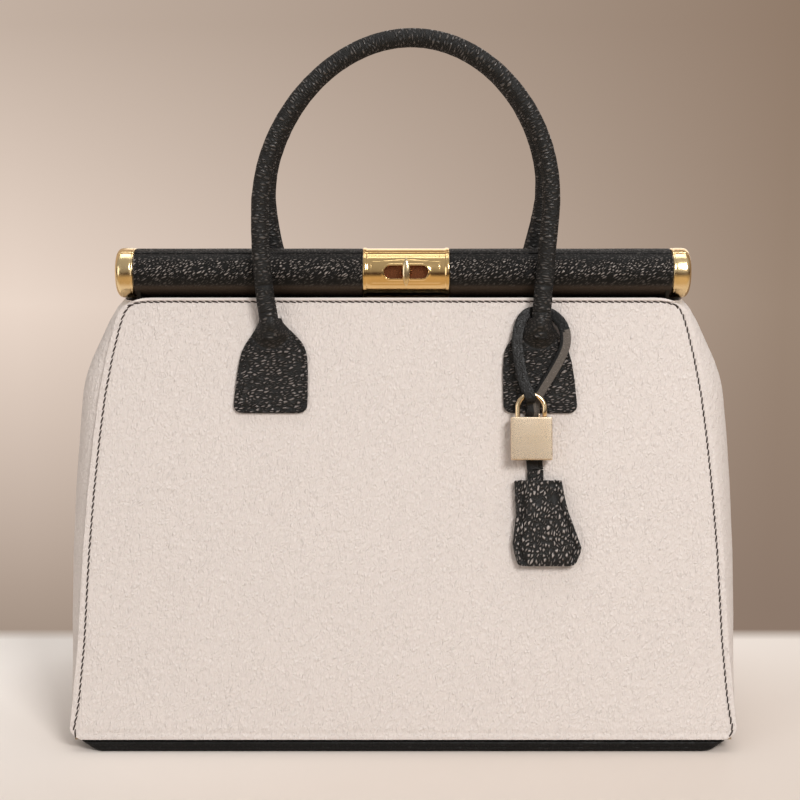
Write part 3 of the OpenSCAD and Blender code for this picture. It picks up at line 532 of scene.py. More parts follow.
# The bar's crests carry a strong painted highlight, kept to a band on its upper front, and its lower front a
# warm painted reflection of the pale hem.
bar_leather = black_worn_and_highlit("bar_leather", 1.0, 1.2, (0.34, 0.30, 0.275), (3.2, 1, 1), turn=slant(34),
                         rough=0.27, gloss=0.28, pore=0.1, warp=1.1, glow=(0.040, 0.027, 0.018))
roll_leather = black_worn_and_highlit("roll_leather", 1.5, 0.95, (0.085, 0.075, 0.069), (1, 2.6, 1), pattern="UV",
                          pore=0.1, warp=0.7, dull=0.5, lighter_crests_from=0.12)
tab_leather = black_worn_and_highlit("tab_leather", 1.35, 1.4, (0.24, 0.208, 0.194), (2.4, 1, 1), turn=slant(14),
                         gloss=0.45, pore=0.15, warp=1.2)
bell_leather = black_worn_and_highlit("bell_leather", 1.6, 1.4, (0.42, 0.37, 0.345), (1, 1, 2.1), turn=slant(-14),
                          pore=0.15, warp=1.2)
strap_leather = leather("strap_leather", (0.009, 0.0085, 0.0085), BLACK, 1.1, 0.34, 0.25, pattern="UV",
                        gloss=0.3)
strap_back = leather("strap_back", (0.150, 0.128, 0.108), (0.10, 0.083, 0.07), 0.9, 0.55, 0.18, pattern="UV",
                     gloss=0.3)
# Black painted edge, which also serves as painted shade on part of the turned back of the strap.
strap_edge_and_shade = leather("strap_edge_and_shade", (0.004, 0.0036, 0.0035), BLACK_CREASE_SHADE, 1.2, 0.4, 0.15, pattern="UV",
                     gloss=0.2)
base_leather = leather("base_leather", (0.005, 0.0045, 0.0043), BLACK_CREASE_SHADE, 2.0, 0.4, 0.4, gloss=0.25)
edge_paint = leather("edge_paint", (0.020, 0.012, 0.008), (0.008, 0.0055, 0.004), 1.0, 0.42, 0.15,
                     mottle=0.2, gloss=0.3)
print("leathers", [m.name for m in bpy.data.materials if "leather" in m.name])

# %% [markdown]
# ## Metals, thread and the inner finishes
# The gold plate is polished, so its look comes from what it reflects, and only fine scratches break it.
# The padlock is brushed upright. The thread is twisted. The lining is a plain weave, the board is
# pressed fibre, and the steel inside is brushed along its length.

# %% Metals
TARNISH = [0.12 * share for share in (1, 1.5, 2.2)]         # how far red, green and blue darken in places


def metal(name, colour, rough, streak_size, depth, streak=(1, 1, 1)):
    """A metal with streaks of a size and depth in mm, stretched along one direction, and a little tarnish."""
    material, tree, shader = new_material(name)
    shader.inputs["Metallic"].default_value = 1.0
    lines = node(tree, "ShaderNodeTexNoise", in_Scale=1 / (streak_size * MM), in_Detail=3.0)
    tree.links.new(object_point(tree, scale=streak), lines.inputs["Vector"])
    clouds = node(tree, "ShaderNodeTexNoise", in_Scale=90.0, in_Detail=4.0)
    tree.links.new(object_point(tree), clouds.inputs["Vector"])
    worn = tuple(c * (1 - w) for c, w in zip(colour, TARNISH))
    tree.links.new(blend_colours(tree, clouds.outputs[0], worn, colour), shader.inputs["Base Color"])
    tree.links.new(math_node(tree, "MULTIPLY_ADD", lines.outputs[0], 0.12, rough - 0.04),
                   shader.inputs["Roughness"])
    bump = node(tree, "ShaderNodeBump", in_Strength=1.0, in_Distance=depth * MM)
    tree.links.new(lines.outputs[0], bump.inputs["Height"])
    tree.links.new(bump.outputs[0], shader.inputs["Normal"])
    return material


gold = metal("gold_plate", (0.93, 0.67, 0.33), 0.13, 3, 0.01)
satin_gold = metal("satin_gold", (0.90, 0.75, 0.58), 0.26, 0.5, 0.006, streak=(3.5, 3.5, 0.06))
wire_gold = metal("wire_gold", (0.93, 0.74, 0.49), 0.16, 2, 0.008)
cap_gold = metal("cap_gold", (0.94, 0.74, 0.43), 0.2, 3, 0.01)
knob_gold = metal("knob_gold", (0.94, 0.77, 0.50), 0.2, 2, 0.008)
key_brass = metal("key_brass", (0.82, 0.58, 0.27), 0.24, 1, 0.01)
# Near black steel for the arms and pins inside the bag.
dark_steel = metal("near_black_steel", (0.035, 0.033, 0.031), 0.5, 0.6, 0.01)
steel = metal("frame_steel", (0.56, 0.55, 0.53), 0.32, 0.5, 0.01, streak=(2, 2, 0.12))
recess = metal("lock_recess", (0.42, 0.16, 0.075), 0.24, 0.8, 0.02)


# %% Thread, cloth and board
def plain(name, colour, other, rough, scale, depth, sheen=0.0, wave=None):
    """A dull surface with a fibre or weave pattern between two colours, and its depth in mm."""
    material, tree, shader = new_material(name)
    point = object_point(tree)
    fibres = node(tree, "ShaderNodeTexNoise", in_Scale=scale, in_Detail=4.0, in_Roughness=0.65)
    tree.links.new(point, fibres.inputs["Vector"])
    height = fibres.outputs[0]
    if wave:
        bands = []
        for direction in ("X", "Z"):
            w = node(tree, "ShaderNodeTexWave", bands_direction=direction, in_Scale=wave, in_Distortion=0.4)
            tree.links.new(point, w.inputs["Vector"])
            bands.append(w.outputs["Fac"])
        height = math_node(tree, "MULTIPLY_ADD", fibres.outputs[0], 0.5,
                           math_node(tree, "MAXIMUM", bands[0], bands[1]))
    tree.links.new(blend_colours(tree, height, colour, other), shader.inputs["Base Color"])
    shader.inputs["Roughness"].default_value = rough
    shader.inputs["Sheen Weight"].default_value = sheen
    shader.inputs["Specular IOR Level"].default_value = 0.4
    bump = node(tree, "ShaderNodeBump", in_Strength=1.0, in_Distance=depth * MM)
    tree.links.new(height, bump.inputs["Height"])
    tree.links.new(bump.outputs[0], shader.inputs["Normal"])
    return material


dark_thread = plain("dark_thread", (0.022, 0.013, 0.010), (0.055, 0.034, 0.026), 0.5, 3500, 0.08)
black_thread = plain("black_thread", (0.006, 0.0055, 0.005), (0.02, 0.018, 0.017), 0.42, 3500, 0.08)
lining = plain("lining_cloth", (0.13, 0.085, 0.06), (0.21, 0.145, 0.105), 0.85, 1800, 0.12, sheen=0.3,
               wave=520)
board = plain("pressed_board", (0.30, 0.225, 0.145), (0.40, 0.31, 0.21), 0.9, 420, 0.1)
print("materials", len(bpy.data.materials))

# %% [markdown]
# ## Stitches
# A seam is one short thread loop repeated hundreds of times, so Geometry Nodes lay it: a curve is cut
# into equal steps, and at each step a small flat loop is set, a little askew as saddle stitches are.
# The upright of the leather is carried by the curve's own normals, so the loops lie flat on any panel.

# %% Stitch tree
def stitch_mesh(long, thick):
    """One thread loop lying along X: a bent capsule, a few dozen faces, with its ends in the leather."""
    sections = []
    for i in range(7):
        t = i / 6
        r = thick / 2 * (0.55 + 0.45 * math.sin(math.pi * t) ** 0.5)
        rise = thick * (0.62 * math.sin(math.pi * t) - 0.30)
        sections.append([Vector((long * (t - 0.5), r * math.cos(a), rise + r * 0.8 * math.sin(a))) * MM
                         for a in turns(6)])
    return rings("stitch_loop", sections)


def stitch_tree():
    """A node group that sets a thread loop at equal steps along a line of points that carry normals."""
    tree = bpy.data.node_groups.new("sewn_row", "GeometryNodeTree")
    tree.interface.new_socket("Row", in_out="INPUT", socket_type="NodeSocketGeometry")
    for name, kind in (("Loop", "NodeSocketObject"), ("Step", "NodeSocketFloat"),
                       ("Askew", "NodeSocketFloat"), ("Thread", "NodeSocketMaterial")):
        tree.interface.new_socket(name, in_out="INPUT", socket_type=kind)
    tree.interface.new_socket("Stitches", in_out="OUTPUT", socket_type="NodeSocketGeometry")
    given, result = tree.nodes.new("NodeGroupInput"), tree.nodes.new("NodeGroupOutput")
    up = node(tree, "GeometryNodeInputNamedAttribute", data_type="FLOAT_VECTOR")
    up.inputs["Name"].default_value = "up"
    curve = tree.nodes.new("GeometryNodeMeshToCurve")
    points = node(tree, "GeometryNodeCurveToPoints", mode="LENGTH")
    heading = node(tree, "FunctionNodeAlignRotationToVector", axis="X")
    facing = node(tree, "FunctionNodeAlignRotationToVector", axis="Z", pivot_axis="X")
    skew = tree.nodes.new("FunctionNodeAxisAngleToRotation")
    skew.inputs["Axis"].default_value = (0, 0, 1)
    turn = node(tree, "FunctionNodeRotateRotation", rotation_space="LOCAL")
    loop = node(tree, "GeometryNodeObjectInfo", transform_space="ORIGINAL")
    place = tree.nodes.new("GeometryNodeInstanceOnPoints")
    solid = tree.nodes.new("GeometryNodeRealizeInstances")
    thread = tree.nodes.new("GeometryNodeSetMaterial")
    link = tree.links.new
    link(given.outputs["Row"], curve.inputs[0])
    link(curve.outputs[0], points.inputs[0])
    link(given.outputs["Step"], points.inputs["Length"])
    link(points.outputs["Tangent"], heading.inputs["Vector"])
    link(heading.outputs[0], facing.inputs["Rotation"])
    link(up.outputs["Attribute"], facing.inputs["Vector"])
    link(given.outputs["Askew"], skew.inputs["Angle"])
    link(facing.outputs[0], turn.inputs["Rotation"])
    link(skew.outputs[0], turn.inputs["Rotate By"])
    link(points.outputs["Points"], place.inputs["Points"])
    link(given.outputs["Loop"], loop.inputs[0])
    link(loop.outputs["Geometry"], place.inputs["Instance"])
    link(turn.outputs[0], place.inputs["Rotation"])
    link(place.outputs[0], solid.inputs[0])
    link(solid.outputs[0], thread.inputs["Geometry"])
    link(given.outputs["Thread"], thread.inputs["Material"])
    link(thread.outputs[0], result.inputs[0])
    return tree


SEWN_ROW = stitch_tree()
LOOPS = {}


def socket_id(tree, name):
    """The identifier of a named input."""
    return next(i.identifier for i in tree.interface.items_tree if i.item_type == "SOCKET" and i.name == name)


def stitches(name, rows, thread, step, long, thick, askew):
    """Sews along rows of (point, upright) pairs and returns one plain mesh object."""
    key = (long, thick)
    if key not in LOOPS:
        LOOPS[key] = stitch_mesh(long, thick)
    points, ups, edges = [], [], []
    for row in rows:
        start = len(points)
        points += [tuple(p) for p, up in row]
        ups += [tuple(up) for p, up in row]
        edges += [(start + i, start + i + 1) for i in range(len(row) - 1)]
    mesh = bpy.data.meshes.new(name)
    mesh.from_pydata(points, edges, [])
    data = mesh.attributes.new("up", "FLOAT_VECTOR", "POINT")
    data.data.foreach_set("vector", np.array(ups, dtype=np.float32).ravel())
    obj = bpy.data.objects.new(name, mesh)
    bpy.context.scene.collection.objects.link(obj)
    m = obj.modifiers.new("sewn", "NODES")
    m.node_group = SEWN_ROW
    for socket, value in (("Loop", LOOPS[key]), ("Step", step * MM), ("Askew", math.radians(askew)),
                          ("Thread", thread)):
        m[socket_id(SEWN_ROW, socket)] = value
    finish_mesh(obj)
    obj.data.polygons.foreach_set("use_smooth", [True] * len(obj.data.polygons))
    print(name, len(obj.data.polygons) // len(LOOPS[key].data.polygons), "stitches")
    return obj


print("sewn row inputs", [i.name for i in SEWN_ROW.interface.items_tree])

# %% [markdown]
# ## Front and rear panels
# Each panel is one flat hide, stiffened by a board, with soft corners at the top and cut corners at the
# foot. It is a grid of points in the plane of the panel, finer at its edges, where the leather dips
# along the seam and rises to a rounded edge. Solidify gives it its thickness downwards, away from the
# face, so the face stays where the solid has it.

# %% Outline of a panel
PANEL_EDGE = [(0.0, 0.963), (0.005, 0.965), (0.012, 0.982), (0.02, 0.993), (0.03, 0.998), (0.04, 0.997),
              (0.10, 0.990), (0.22, 0.978), (0.42, 0.968), (0.56, 0.956), (0.68, 0.942), (0.78, 0.927),
              (0.87, 0.906), (0.93, 0.888), (0.96, 0.877), (0.975, 0.868), (0.985, 0.857), (0.992, 0.842),
              (0.997, 0.822), (1.0, 0.79)]
FOOT_GAP = 1.2


def table(rows, u):
    """A value from rows of (place, value), straight between them."""
    for (a, x), (b, y) in zip(rows, rows[1:]):
        if u <= b:
            return lerp(x, y, (u - a) / (b - a))
    return rows[-1][1]


def half_width(u):
    """Half the width of a panel, by the share of its height."""
    return BODY_W / 2 * table(PANEL_EDGE, u)


def spread(edge, count):
    """Shares from 0 to 1, with the given fine steps at both ends and even steps between them."""
    low = [0.0] + list(edge)
    even = [lerp(edge[-1], 1 - edge[-1], i / count) for i in range(1, count)]
    return low + even + [1 - e for e in reversed(low)]


SEAM_INSET = 3.4                        # the stitches run this far inside the edge
HEM_LOW, HEM_TOP = -0.4, 1.25           # the rib along the top of a panel, from its upper edge
TOP_SEAM = 1.0                          # the stitches run this far below that edge
TOP_REACH, CORNER_DROP = 147.5, 1.7     # half the length of the seam and the hem, and their fall at its ends
FLARE, FLARE_V = 2.0, 28.0              # below this height the side seams run out towards the corners


def seam_dip(inside):
    """How far the leather is pulled in by its seam, by the distance from the edge."""
    return 0.34 * math.exp(-((inside - SEAM_INSET) / 0.8) ** 2) + 0.12 * math.exp(-(inside / 0.5) ** 2)


def corner_drop(x, start):
    """How far the top seam or hem has turned down, from its start to its end."""
    return CORNER_DROP * max(0.0, (abs(x) - start) / (TOP_REACH - start)) ** 2


print("panel half width at mid height", round(half_width(0.5), 1), "mm")


# %% Panel sheets
def panel_face(x, v):
    """How far the face of a panel stands out from its plane: seam, slight waves and a low swell."""
    u = v / PANEL_LEN
    inside = min(half_width(u) - abs(x), v - FOOT_GAP, PANEL_LEN - v + SEAM_INSET - TOP_SEAM)
    wave = 0.22 * noise.noise(Vector((x * 0.018, v * 0.02, 3.1))) * smooth(inside / 25)
    swell = 0.9 * smooth((1 - abs(x) / 150) * 1.4) * smooth(u / 0.18) * smooth((0.56 - u) / 0.3)
    return wave + swell - seam_dip(inside) - 0.2 - 0.15 * smooth((u - 0.6) / 0.05)


def panel_sheet(name, side):
    """The leather of one panel as a closed sheet."""
    fine = [0.0012, 0.003, 0.0055, 0.0075, 0.0095, 0.0115, 0.0135, 0.017, 0.024, 0.04]
    across = [2 * s - 1 for s in spread(fine, 46)]
    up = spread([0.002, 0.005, 0.009, 0.013, 0.016, 0.02, 0.026, 0.036, 0.05, 0.07], 44)
    points = []
    for u in up:
        v = lerp(FOOT_GAP, PANEL_LEN - 0.4, u)
        for s in across:
            x = s * half_width(v / PANEL_LEN)
            points.append(side(x, v, panel_face(x, v)))
    obj = make(name, points, grid_faces(len(up), len(across)))
    face = obj.data.polygons[len(obj.data.polygons) // 2].normal
    thickness = (LEATHER_T - 0.35) * MM
    modifier(obj, "SOLIDIFY", thickness=thickness, offset=-1 if face.dot(outward(side)) > 0 else 1)
    finish_mesh(obj)
    modifier(obj, "BEVEL", width=0.4 * MM, segments=2, limit_method="ANGLE", angle_limit=math.radians(50),
             harden_normals=False)
    finish_mesh(obj)
    outwards(obj)
    paint(obj, pale_leather)
    return obj


def side_rows(side, points=160):
    """Rows that follow the sides of a panel down to the foot, as (point, upright) pairs."""
    out = outward(side)
    left, right = [], []
    for i in range(points):
        v = lerp(PANEL_LEN - SEAM_INSET, FOOT_GAP + SEAM_INSET, i / (points - 1))
        x = half_width(v / PANEL_LEN) - SEAM_INSET + FLARE * (1 - min(1.0, v / FLARE_V)) ** 2
        right.append((side(x, v, panel_face(x, v)), out))
        left.append((side(-x, v, panel_face(x, v)), out))
    return [right, left]


def top_row(side):
    """A row along the top of a panel that wanders a little and turns down at the corners."""
    row = []
    for x in np.linspace(-TOP_REACH, TOP_REACH, 190):
        v = PANEL_LEN - TOP_SEAM - corner_drop(x, 138)
        wander = 0.3 * noise.noise(Vector((x * 0.09, 0.5, 2.0)))
        row.append((side(x, v + wander, panel_face(x, v)), outward(side)))
    return row


for body, side in (("front_panel", front), ("rear_panel", rear)):
    sheet = panel_sheet(body + "_leather", side)
    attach(sheet, body)
    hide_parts(body)
    seam = stitches(body + "_stitches", side_rows(side) + [top_row(side)], dark_thread, step=3.5, long=4.5,
                    thick=0.85, askew=-13)
    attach(seam, body)
    print(body, len(sheet.data.polygons), "faces")

# %% [markdown]
# The panel is folded over along its top and sewn down, which leaves a narrow plain rib above the seam.
# It is its own band, smoother than the grain below it, and it turns down with the corners.

# %% Hem strips
def hem_strip(name, side):
    """A flat rib along the top edge, which narrows at both ends."""
    sections = []
    count, low = 110, -1.2
    for i in range(count + 1):
        s = 2 * i / count - 1
        x = s * TOP_REACH
        drop = corner_drop(x, 136)
        v0, v1 = PANEL_LEN + HEM_LOW - drop, PANEL_LEN + HEM_TOP - drop
        end = min(1.0, (1 - abs(s)) * 26) ** 0.5
        mid, half = (v0 + v1) / 2, (v1 - v0) / 2 * (0.25 + 0.75 * end)
        lift = 0.15 * end + 0.08 * noise.noise(Vector((x * 0.05, 1.7, 0)))
        profile = ((mid - half, low), (mid - half, lift - 0.3), (mid - half + 0.25, lift), (mid, lift + 0.08),
                   (mid + half - 0.3, lift), (mid + half, lift - 0.35), (mid + half, low))
        sections.append([side(x, v, d) for v, d in profile])
    obj = rings(name, sections)
    paint(obj, pale_edge)
    return obj


for body, side in (("front_panel", front), ("rear_panel", rear)):
    hem = hem_strip(body + "_hem", side)
    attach(hem, body)
print("hems done")

# %% [markdown]
# ## Side walls
# A gusset is a soft hide sewn between the panels. It bulges past them at the sides and narrows under the
# bar. It is one curved sheet from seam to seam, split down its middle into a front and a rear half.

# %% Gusset sheets
GUSSET_TOP = 231.2
GUSSET_EDGE = [(5.6, 178.5), (20, 182.5), (60, 184.0), (94.6, 183.4), (129.6, 181.6), (158.4, 179.2),
               (177.8, 177.1), (183.5, 176.2), (189.3, 174.7), (198.6, 171.1), (208.5, 166.2), (219.0, 161.2),
               (227.6, 156.0), (GUSSET_TOP, 152.5)]
FOLD_DEPTH = 2.0            # how far the middle of a wall is drawn in along its fold


def gusset_point(side_x, share, t, lift):
    """A point of a gusset: by its height share, and from the seam (t 1) to its middle (t 0)."""
    z = lerp(BASE_H + 0.6, GUSSET_TOP, share)
    v = (z - BASE_H) / math.cos(TILT)
    seam_x = half_width(v / PANEL_LEN) - 1.1
    y_seam = BODY_D / 2 - v * math.sin(TILT) - LEATHER_T / math.cos(TILT) - 0.35
    arch = (1 - t ** 2.6) ** 0.72
    x = lerp(seam_x, table(GUSSET_EDGE, z), arch)
    fold = smooth((z - 60) / 90) * smooth((231 - z) / 30)
    x -= FOLD_DEPTH * fold * math.exp(-(t / 0.16) ** 2)
    x += 0.5 * noise.noise(Vector((t * 1.7, z * 0.018, side_x * 4.0))) * arch * smooth(share * 8)
    return Vector((side_x * (x - lift), y_seam * t, z))


def gusset_half(name, side_x, side_y, material, lift=0.0, top=1.0, thick=1.2):
    """One half of a side wall, from the middle to the seam of one panel."""
    rows, cols = 56, 26
    points = []
    for i in range(rows):
        share = (i / (rows - 1)) * top
        for j in range(cols):
            t = (j / (cols - 1)) ** 0.85
            x, y, z = gusset_point(side_x, share, t, lift)
            points.append(Vector((x, side_y * y, z)) * MM)
    obj = make(name, points, grid_faces(rows, cols))
    middle = obj.data.polygons[len(obj.data.polygons) // 2]
    modifier(obj, "SOLIDIFY", thickness=thick * MM, offset=-1 if middle.normal.x * side_x > 0 else 1)
    finish_mesh(obj)
    outwards(obj)
    paint(obj, material)
    return obj


def fold_with(obj):
    """Bakes the transform of a wall into its points."""
    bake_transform(obj)


for x_name, side_x in (("left", -1), ("right", 1)):
    for y_name, side_y in (("front", -1), ("rear", 1)):
        wall = gusset_half(f"{x_name}_gusset_{y_name}_half", side_x, side_y, pale_leather)
        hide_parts(f"{x_name}_gusset")
        fold_with(wall)
print("gusset wall", len(wall.data.polygons), "faces")

# %% [markdown]
# ## Base
# The foot of the bag is a black leather strip round a board. Its ends slope in towards the floor, and
# its upper edge is turned over and rounded. It is a loft of rounded rectangles, with a shallow groove
# where the cover is sewn round the board.

# %% Base strip
def rounded_ring(half_x, half_y, radius, z, steps=8):
    """A level rectangle with round corners."""
    ring = []
    for cx, cy, start in ((1, 1, 0), (-1, 1, 90), (-1, -1, 180), (1, -1, 270)):
        for k in range(steps + 1):
            a = math.radians(start + 90 * k / steps)
            ring.append(Vector((cx * (half_x - radius) + radius * math.cos(a),
                                cy * (half_y - radius) + radius * math.sin(a), z)) * MM)
    return ring


BASE_ROWS = [(0.0, 164.5, 78.6), (0.25, 165.3, 79.3), (0.9, 166.2, 79.8), (2.6, 168.4, 80.0),
             (3.0, 168.7, 79.7), (3.4, 169.4, 80.0), (4.8, 171.4, 80.0), (5.4, 172.0, 79.7),
             (5.6, 171.6, 79.0)]
base_cover = rings("base_strip", [rounded_ring(x, y, 7.0, z) for z, x, y in BASE_ROWS])
paint(base_cover, base_leather)
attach(base_cover, "root")
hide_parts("base_cover")
print("base strip", [round(c * 1000, 1) for c in base_cover.dimensions])

# %% [markdown]
# ## Frame bar
# The round bar is two half tubes that part along a seam, each wrapped in leather and closed by half a
# brass cap at either end. Everything on it is a surface round one axis, so each piece is a grid of
# points by elevation and by place along the bar, given a radius, and then a wall inwards.

# %% Surfaces round the bar
SEAM = 60.0                 # elevation of the seam, measured up from straight ahead
SPLIT = 0.65                # half the angle that the seam leaves open, in degrees


def bar_point(x, e, r):
    """A point round the bar: along it, by its elevation in degrees from straight ahead, and its radius."""
    a = math.radians(e)
    return Vector((x, -r * math.cos(a), BAR_Z + r * math.sin(a))) * MM


def around(e):
    """The way round the bar that belongs to an angle in degrees."""
    return e * math.pi / 180 * BAR_R


def round_sheet(name, xs, angles, radius, thickness, material):
    """A sheet round the bar whose radius follows a function of place and elevation."""
    points = [bar_point(x, e, radius(x, e)) for e in angles for x in xs]
    obj = make(name, points, grid_faces(len(angles), len(xs)))
    f = obj.data.polygons[0]
    centre = Vector((f.center.x, 0, BAR_Z * MM))
    offset = -1 if f.normal.dot(f.center - centre) > 0 else 1
    modifier(obj, "SOLIDIFY", thickness=thickness * MM, offset=offset)
    finish_mesh(obj)
    outwards(obj)
    paint(obj, material)
    return obj


def mark(obj, name, value):
    """Gives each point a value by its elevation, counted from the underside of the bar."""
    places = [math.degrees(math.atan2(v.co.z - BAR_Z * MM, -v.co.y)) for v in obj.data.vertices]
    attribute = obj.data.attributes.new(name, "FLOAT", "POINT")
    attribute.data.foreach_set("value", [value(e if e > -120.01 else e + 360) for e in places])


def with_edges(low, high, fine, steps):
    """Places from low to high, even between, with fine steps at both ends."""
    inner = list(np.linspace(low + fine[-1], high - fine[-1], steps))
    return [low] + [low + f for f in fine[:-1]] + inner + [high - f for f in reversed(fine[:-1])] + [high]


HALVES = {"front": (-120 + SPLIT, SEAM - SPLIT), "rear": (SEAM + SPLIT, 240 - SPLIT)}
CAP_LEN = 10.0
LEATHER_END = BAR_LEN / 2 - CAP_LEN - 0.25
CLASP_HALF, CLASP_GAP = 23.4, 0.2


def edge_fall(distance, width, depth):
    """A rounded edge: how far the surface falls near it."""
    if distance >= width:
        return 0.0
    return depth * (1 - math.sqrt(max(0.0, 1 - (1 - distance / width) ** 2)))


def leather_radius(x0, x1, e0, e1):
    """The radius of a leather sleeve between two places and two elevations."""
    def radius(x, e):
        ends = edge_fall(min(x - x0, x1 - x), 0.9, 0.6)
        seams = edge_fall(around(min(e - e0, e1 - e)), 1.3, 0.75)
        return BAR_R - 0.12 + 0.10 * noise.noise(Vector((x * 0.03, e * 0.02, 0.7))) - ends - seams
    return radius


def stretched_smooth(band):
    """The leather loses its grain, and the painted highlight on its crests, in a band along the seam and
    where it turns down and under.
    """
    return lambda e: 0.9 * (1 - smooth((abs(around(e - SEAM)) - band) / 2.2)) + 0.9 * smooth((8 - e) / 22)


def underside(e):
    """The lower front of the bar, where a warm tone is painted into its colour: a painted reflection of the
    pale hem below it.
    """
    return smooth((-18 - e) / 12) * smooth((e + 75) / 22)


for half, band in (("front", 3.6), ("rear", 5.5)):
    e0, e1 = HALVES[half]
    pieces = []
    for x0, x1 in ((-LEATHER_END, CLASP_X - CLASP_HALF - CLASP_GAP),
                   (CLASP_X + CLASP_HALF + CLASP_GAP, LEATHER_END)):
        xs = with_edges(x0, x1, [0.15, 0.4, 0.9, 1.6], 60)
        angles = with_edges(e0, e1, [0.6, 1.6, 3.2, 5.5], 44)
        sleeve = round_sheet("half", xs, angles, leather_radius(x0, x1, e0, e1), 1.3, bar_leather)
        mark(sleeve, "tight", stretched_smooth(band))
        mark(sleeve, "painted_reflection", underside)
        pieces.append(sleeve)
    wrap = join(f"{half}_bar_cover", pieces)
    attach(wrap, f"{half}_frame")
    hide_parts(f"{half}_bar_leather")
    print(wrap.name, len(wrap.data.polygons), "faces")

# %% [markdown]
# The end caps are cast brass, polished and plated. Each half cap is turned from a profile: a thin bead
# against the leather, a short barrel and a rounded rim round a flat face. Its cut face lies along the
# seam of the bar.

# %% End caps
CAP_PROFILE = [(0.0, 12.6), (0.05, 13.15), (0.3, 13.45), (0.7, 13.5), (1.05, 13.4), (1.25, 13.28),
               (1.5, 13.42), (2.0, 13.55), (4.5, 13.62), (6.8, 13.55), (7.8, 13.32), (8.6, 12.85),
               (9.2, 12.2), (9.65, 11.4), (9.9, 10.5), (10.0, 9.5), (9.96, 7.0), (9.8, 6.2), (9.72, 4.0),
               (9.72, 0.0)]


def half_cap(name, end, e0, e1):
    """Half a cap: its profile turned from seam to seam, and closed along the cut."""
    start = BAR_LEN / 2 - CAP_LEN
    profile = [(start + a, r) for a, r in CAP_PROFILE] + [(start, 0.0)]
    rows = []
    for e in with_edges(e0, e1, [0.5, 1.4, 3.0, 5.0], 40):
        fall = edge_fall(around(min(e - e0, e1 - e)), 0.6, 0.3)
        rows.append([bar_point(end * a, e, max(0.0, r - fall)) for a, r in profile])
    obj = rings(name, rows)
    modifier(obj, "TRIANGULATE")
    finish_mesh(obj)
    outwards(obj, merge=2e-6)
    obj.data.polygons.foreach_set("use_smooth", [True] * len(obj.data.polygons))
    modifier(obj, "WEIGHTED_NORMAL", keep_sharp=True)
    finish_mesh(obj)
    paint(obj, cap_gold)
    return obj


for half, (e0, e1) in HALVES.items():
    for side_name, end in (("left", -1), ("right", 1)):
        cap = half_cap(f"{half}_{side_name}_end_cap", end, e0, e1)
        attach(cap, f"{half}_frame")
        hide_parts(f"{half}_{side_name}_cap")
print("caps done")

# %% [markdown]
# ## Turn clasp
# A gold sleeve wraps the middle of the bar. Its front half carries an oval slot with a raised rim at each
# side and a fine engraved border, left bare of words. The slot is cut with a boolean, because its edge
# has to be clean against the dark recess behind it. The turning knob is an almond shaped loft.

# %% Clasp plates
SLOT_W, SLOT_H = 24.0, 7.1
PLATE_R, RIM_RISE = 13.28, 0.42
BORDER_X, BORDER_LOW, BORDER_TOP, BORDER_CROWN = 18.6, 6.6, 6.4, 1.1


def groove(distance, width=0.28, depth=0.16):
    """An engraved line, by the distance from it."""
    return depth * math.exp(-(distance / width) ** 2)


def from_slot(across, up):
    """The distance from the edge of the oval slot."""
    return math.hypot(max(0.0, abs(across) - (SLOT_W - SLOT_H) / 2), up) - SLOT_H / 2


def clasp_radius(e0, e1):
    """The radius of a clasp plate, with its raised ends, and in front the engraved border and slot rim."""
    def radius(x, e):
        dx = abs(x - CLASP_X)
        inside = CLASP_HALF - dx
        r = PLATE_R + RIM_RISE * smooth((2.3 - inside) / 0.5)
        r -= edge_fall(inside, 0.5, 0.35) + edge_fall(around(min(e - e0, e1 - e)), 0.5, 0.3)
        if e1 < 90:
            t = around(e - math.degrees(CLASP_TILT))
            if dx < BORDER_X + 0.2:
                r -= groove(t - BORDER_TOP - BORDER_CROWN * (1 - smooth(dx / 17.0))) + groove(t + BORDER_LOW)
            if abs(t) < BORDER_LOW + 0.3:
                r -= groove(dx - BORDER_X)
            r += 0.30 * math.exp(-((from_slot(dx, t) - 0.55) / 0.45) ** 2)
        return r
    return radius


ahead = Vector((0, -math.cos(CLASP_TILT), math.sin(CLASP_TILT)))
above = Vector((0, math.sin(CLASP_TILT), math.cos(CLASP_TILT)))
axis = Vector((0, 0, BAR_Z))


def clasp_point(across, up, out):
    """A point by the axes of the tilted clasp, from the axis of the bar."""
    return (axis + Vector((CLASP_X + across, 0, 0)) + above * up + ahead * out) * MM


def open_slot(plate):
    """Cuts the slot and gives its cut faces the dark finish of the recess behind it: painted shade on the
    inner wall of the slot.
    """
    ring = []
    for end, start in ((1, -90), (-1, 90)):
        for k in range(25):
            a = math.radians(start + 180 * k / 24)
            ring.append((end * (SLOT_W - SLOT_H) / 2 + SLOT_H / 2 * math.cos(a), SLOT_H / 2 * math.sin(a)))
    cut(plate, rings("slot_cutter", [[clasp_point(x, t, d) for x, t in ring] for d in (8.0, 18.0)]))
    outwards(plate)
    paint(plate, gold, recess)
    for face in plate.data.polygons:
        rim = from_slot(face.center.x / MM - CLASP_X, (face.center / MM - axis).dot(above))
        if abs(rim) < 0.06 and abs(face.normal.dot(ahead)) < 0.3:
            face.material_index = 1


xs = with_edges(CLASP_X - CLASP_HALF, CLASP_X + CLASP_HALF, [0.12, 0.3, 0.5, 1.2, 1.7, 2.1, 2.5], 84)
for half, (e0, e1) in HALVES.items():
    angles = with_edges(e0, e1, [0.5, 1.2, 2.2], 110 if half == "front" else 48)
    plate = round_sheet(f"{half}_clasp_sleeve", xs, angles, clasp_radius(e0, e1), 1.15, gold)
    if half == "front":
        open_slot(plate)
    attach(plate, f"{half}_frame")
    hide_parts(f"{half}_clasp_plate")
    print(plate.name, len(plate.data.polygons), "faces")

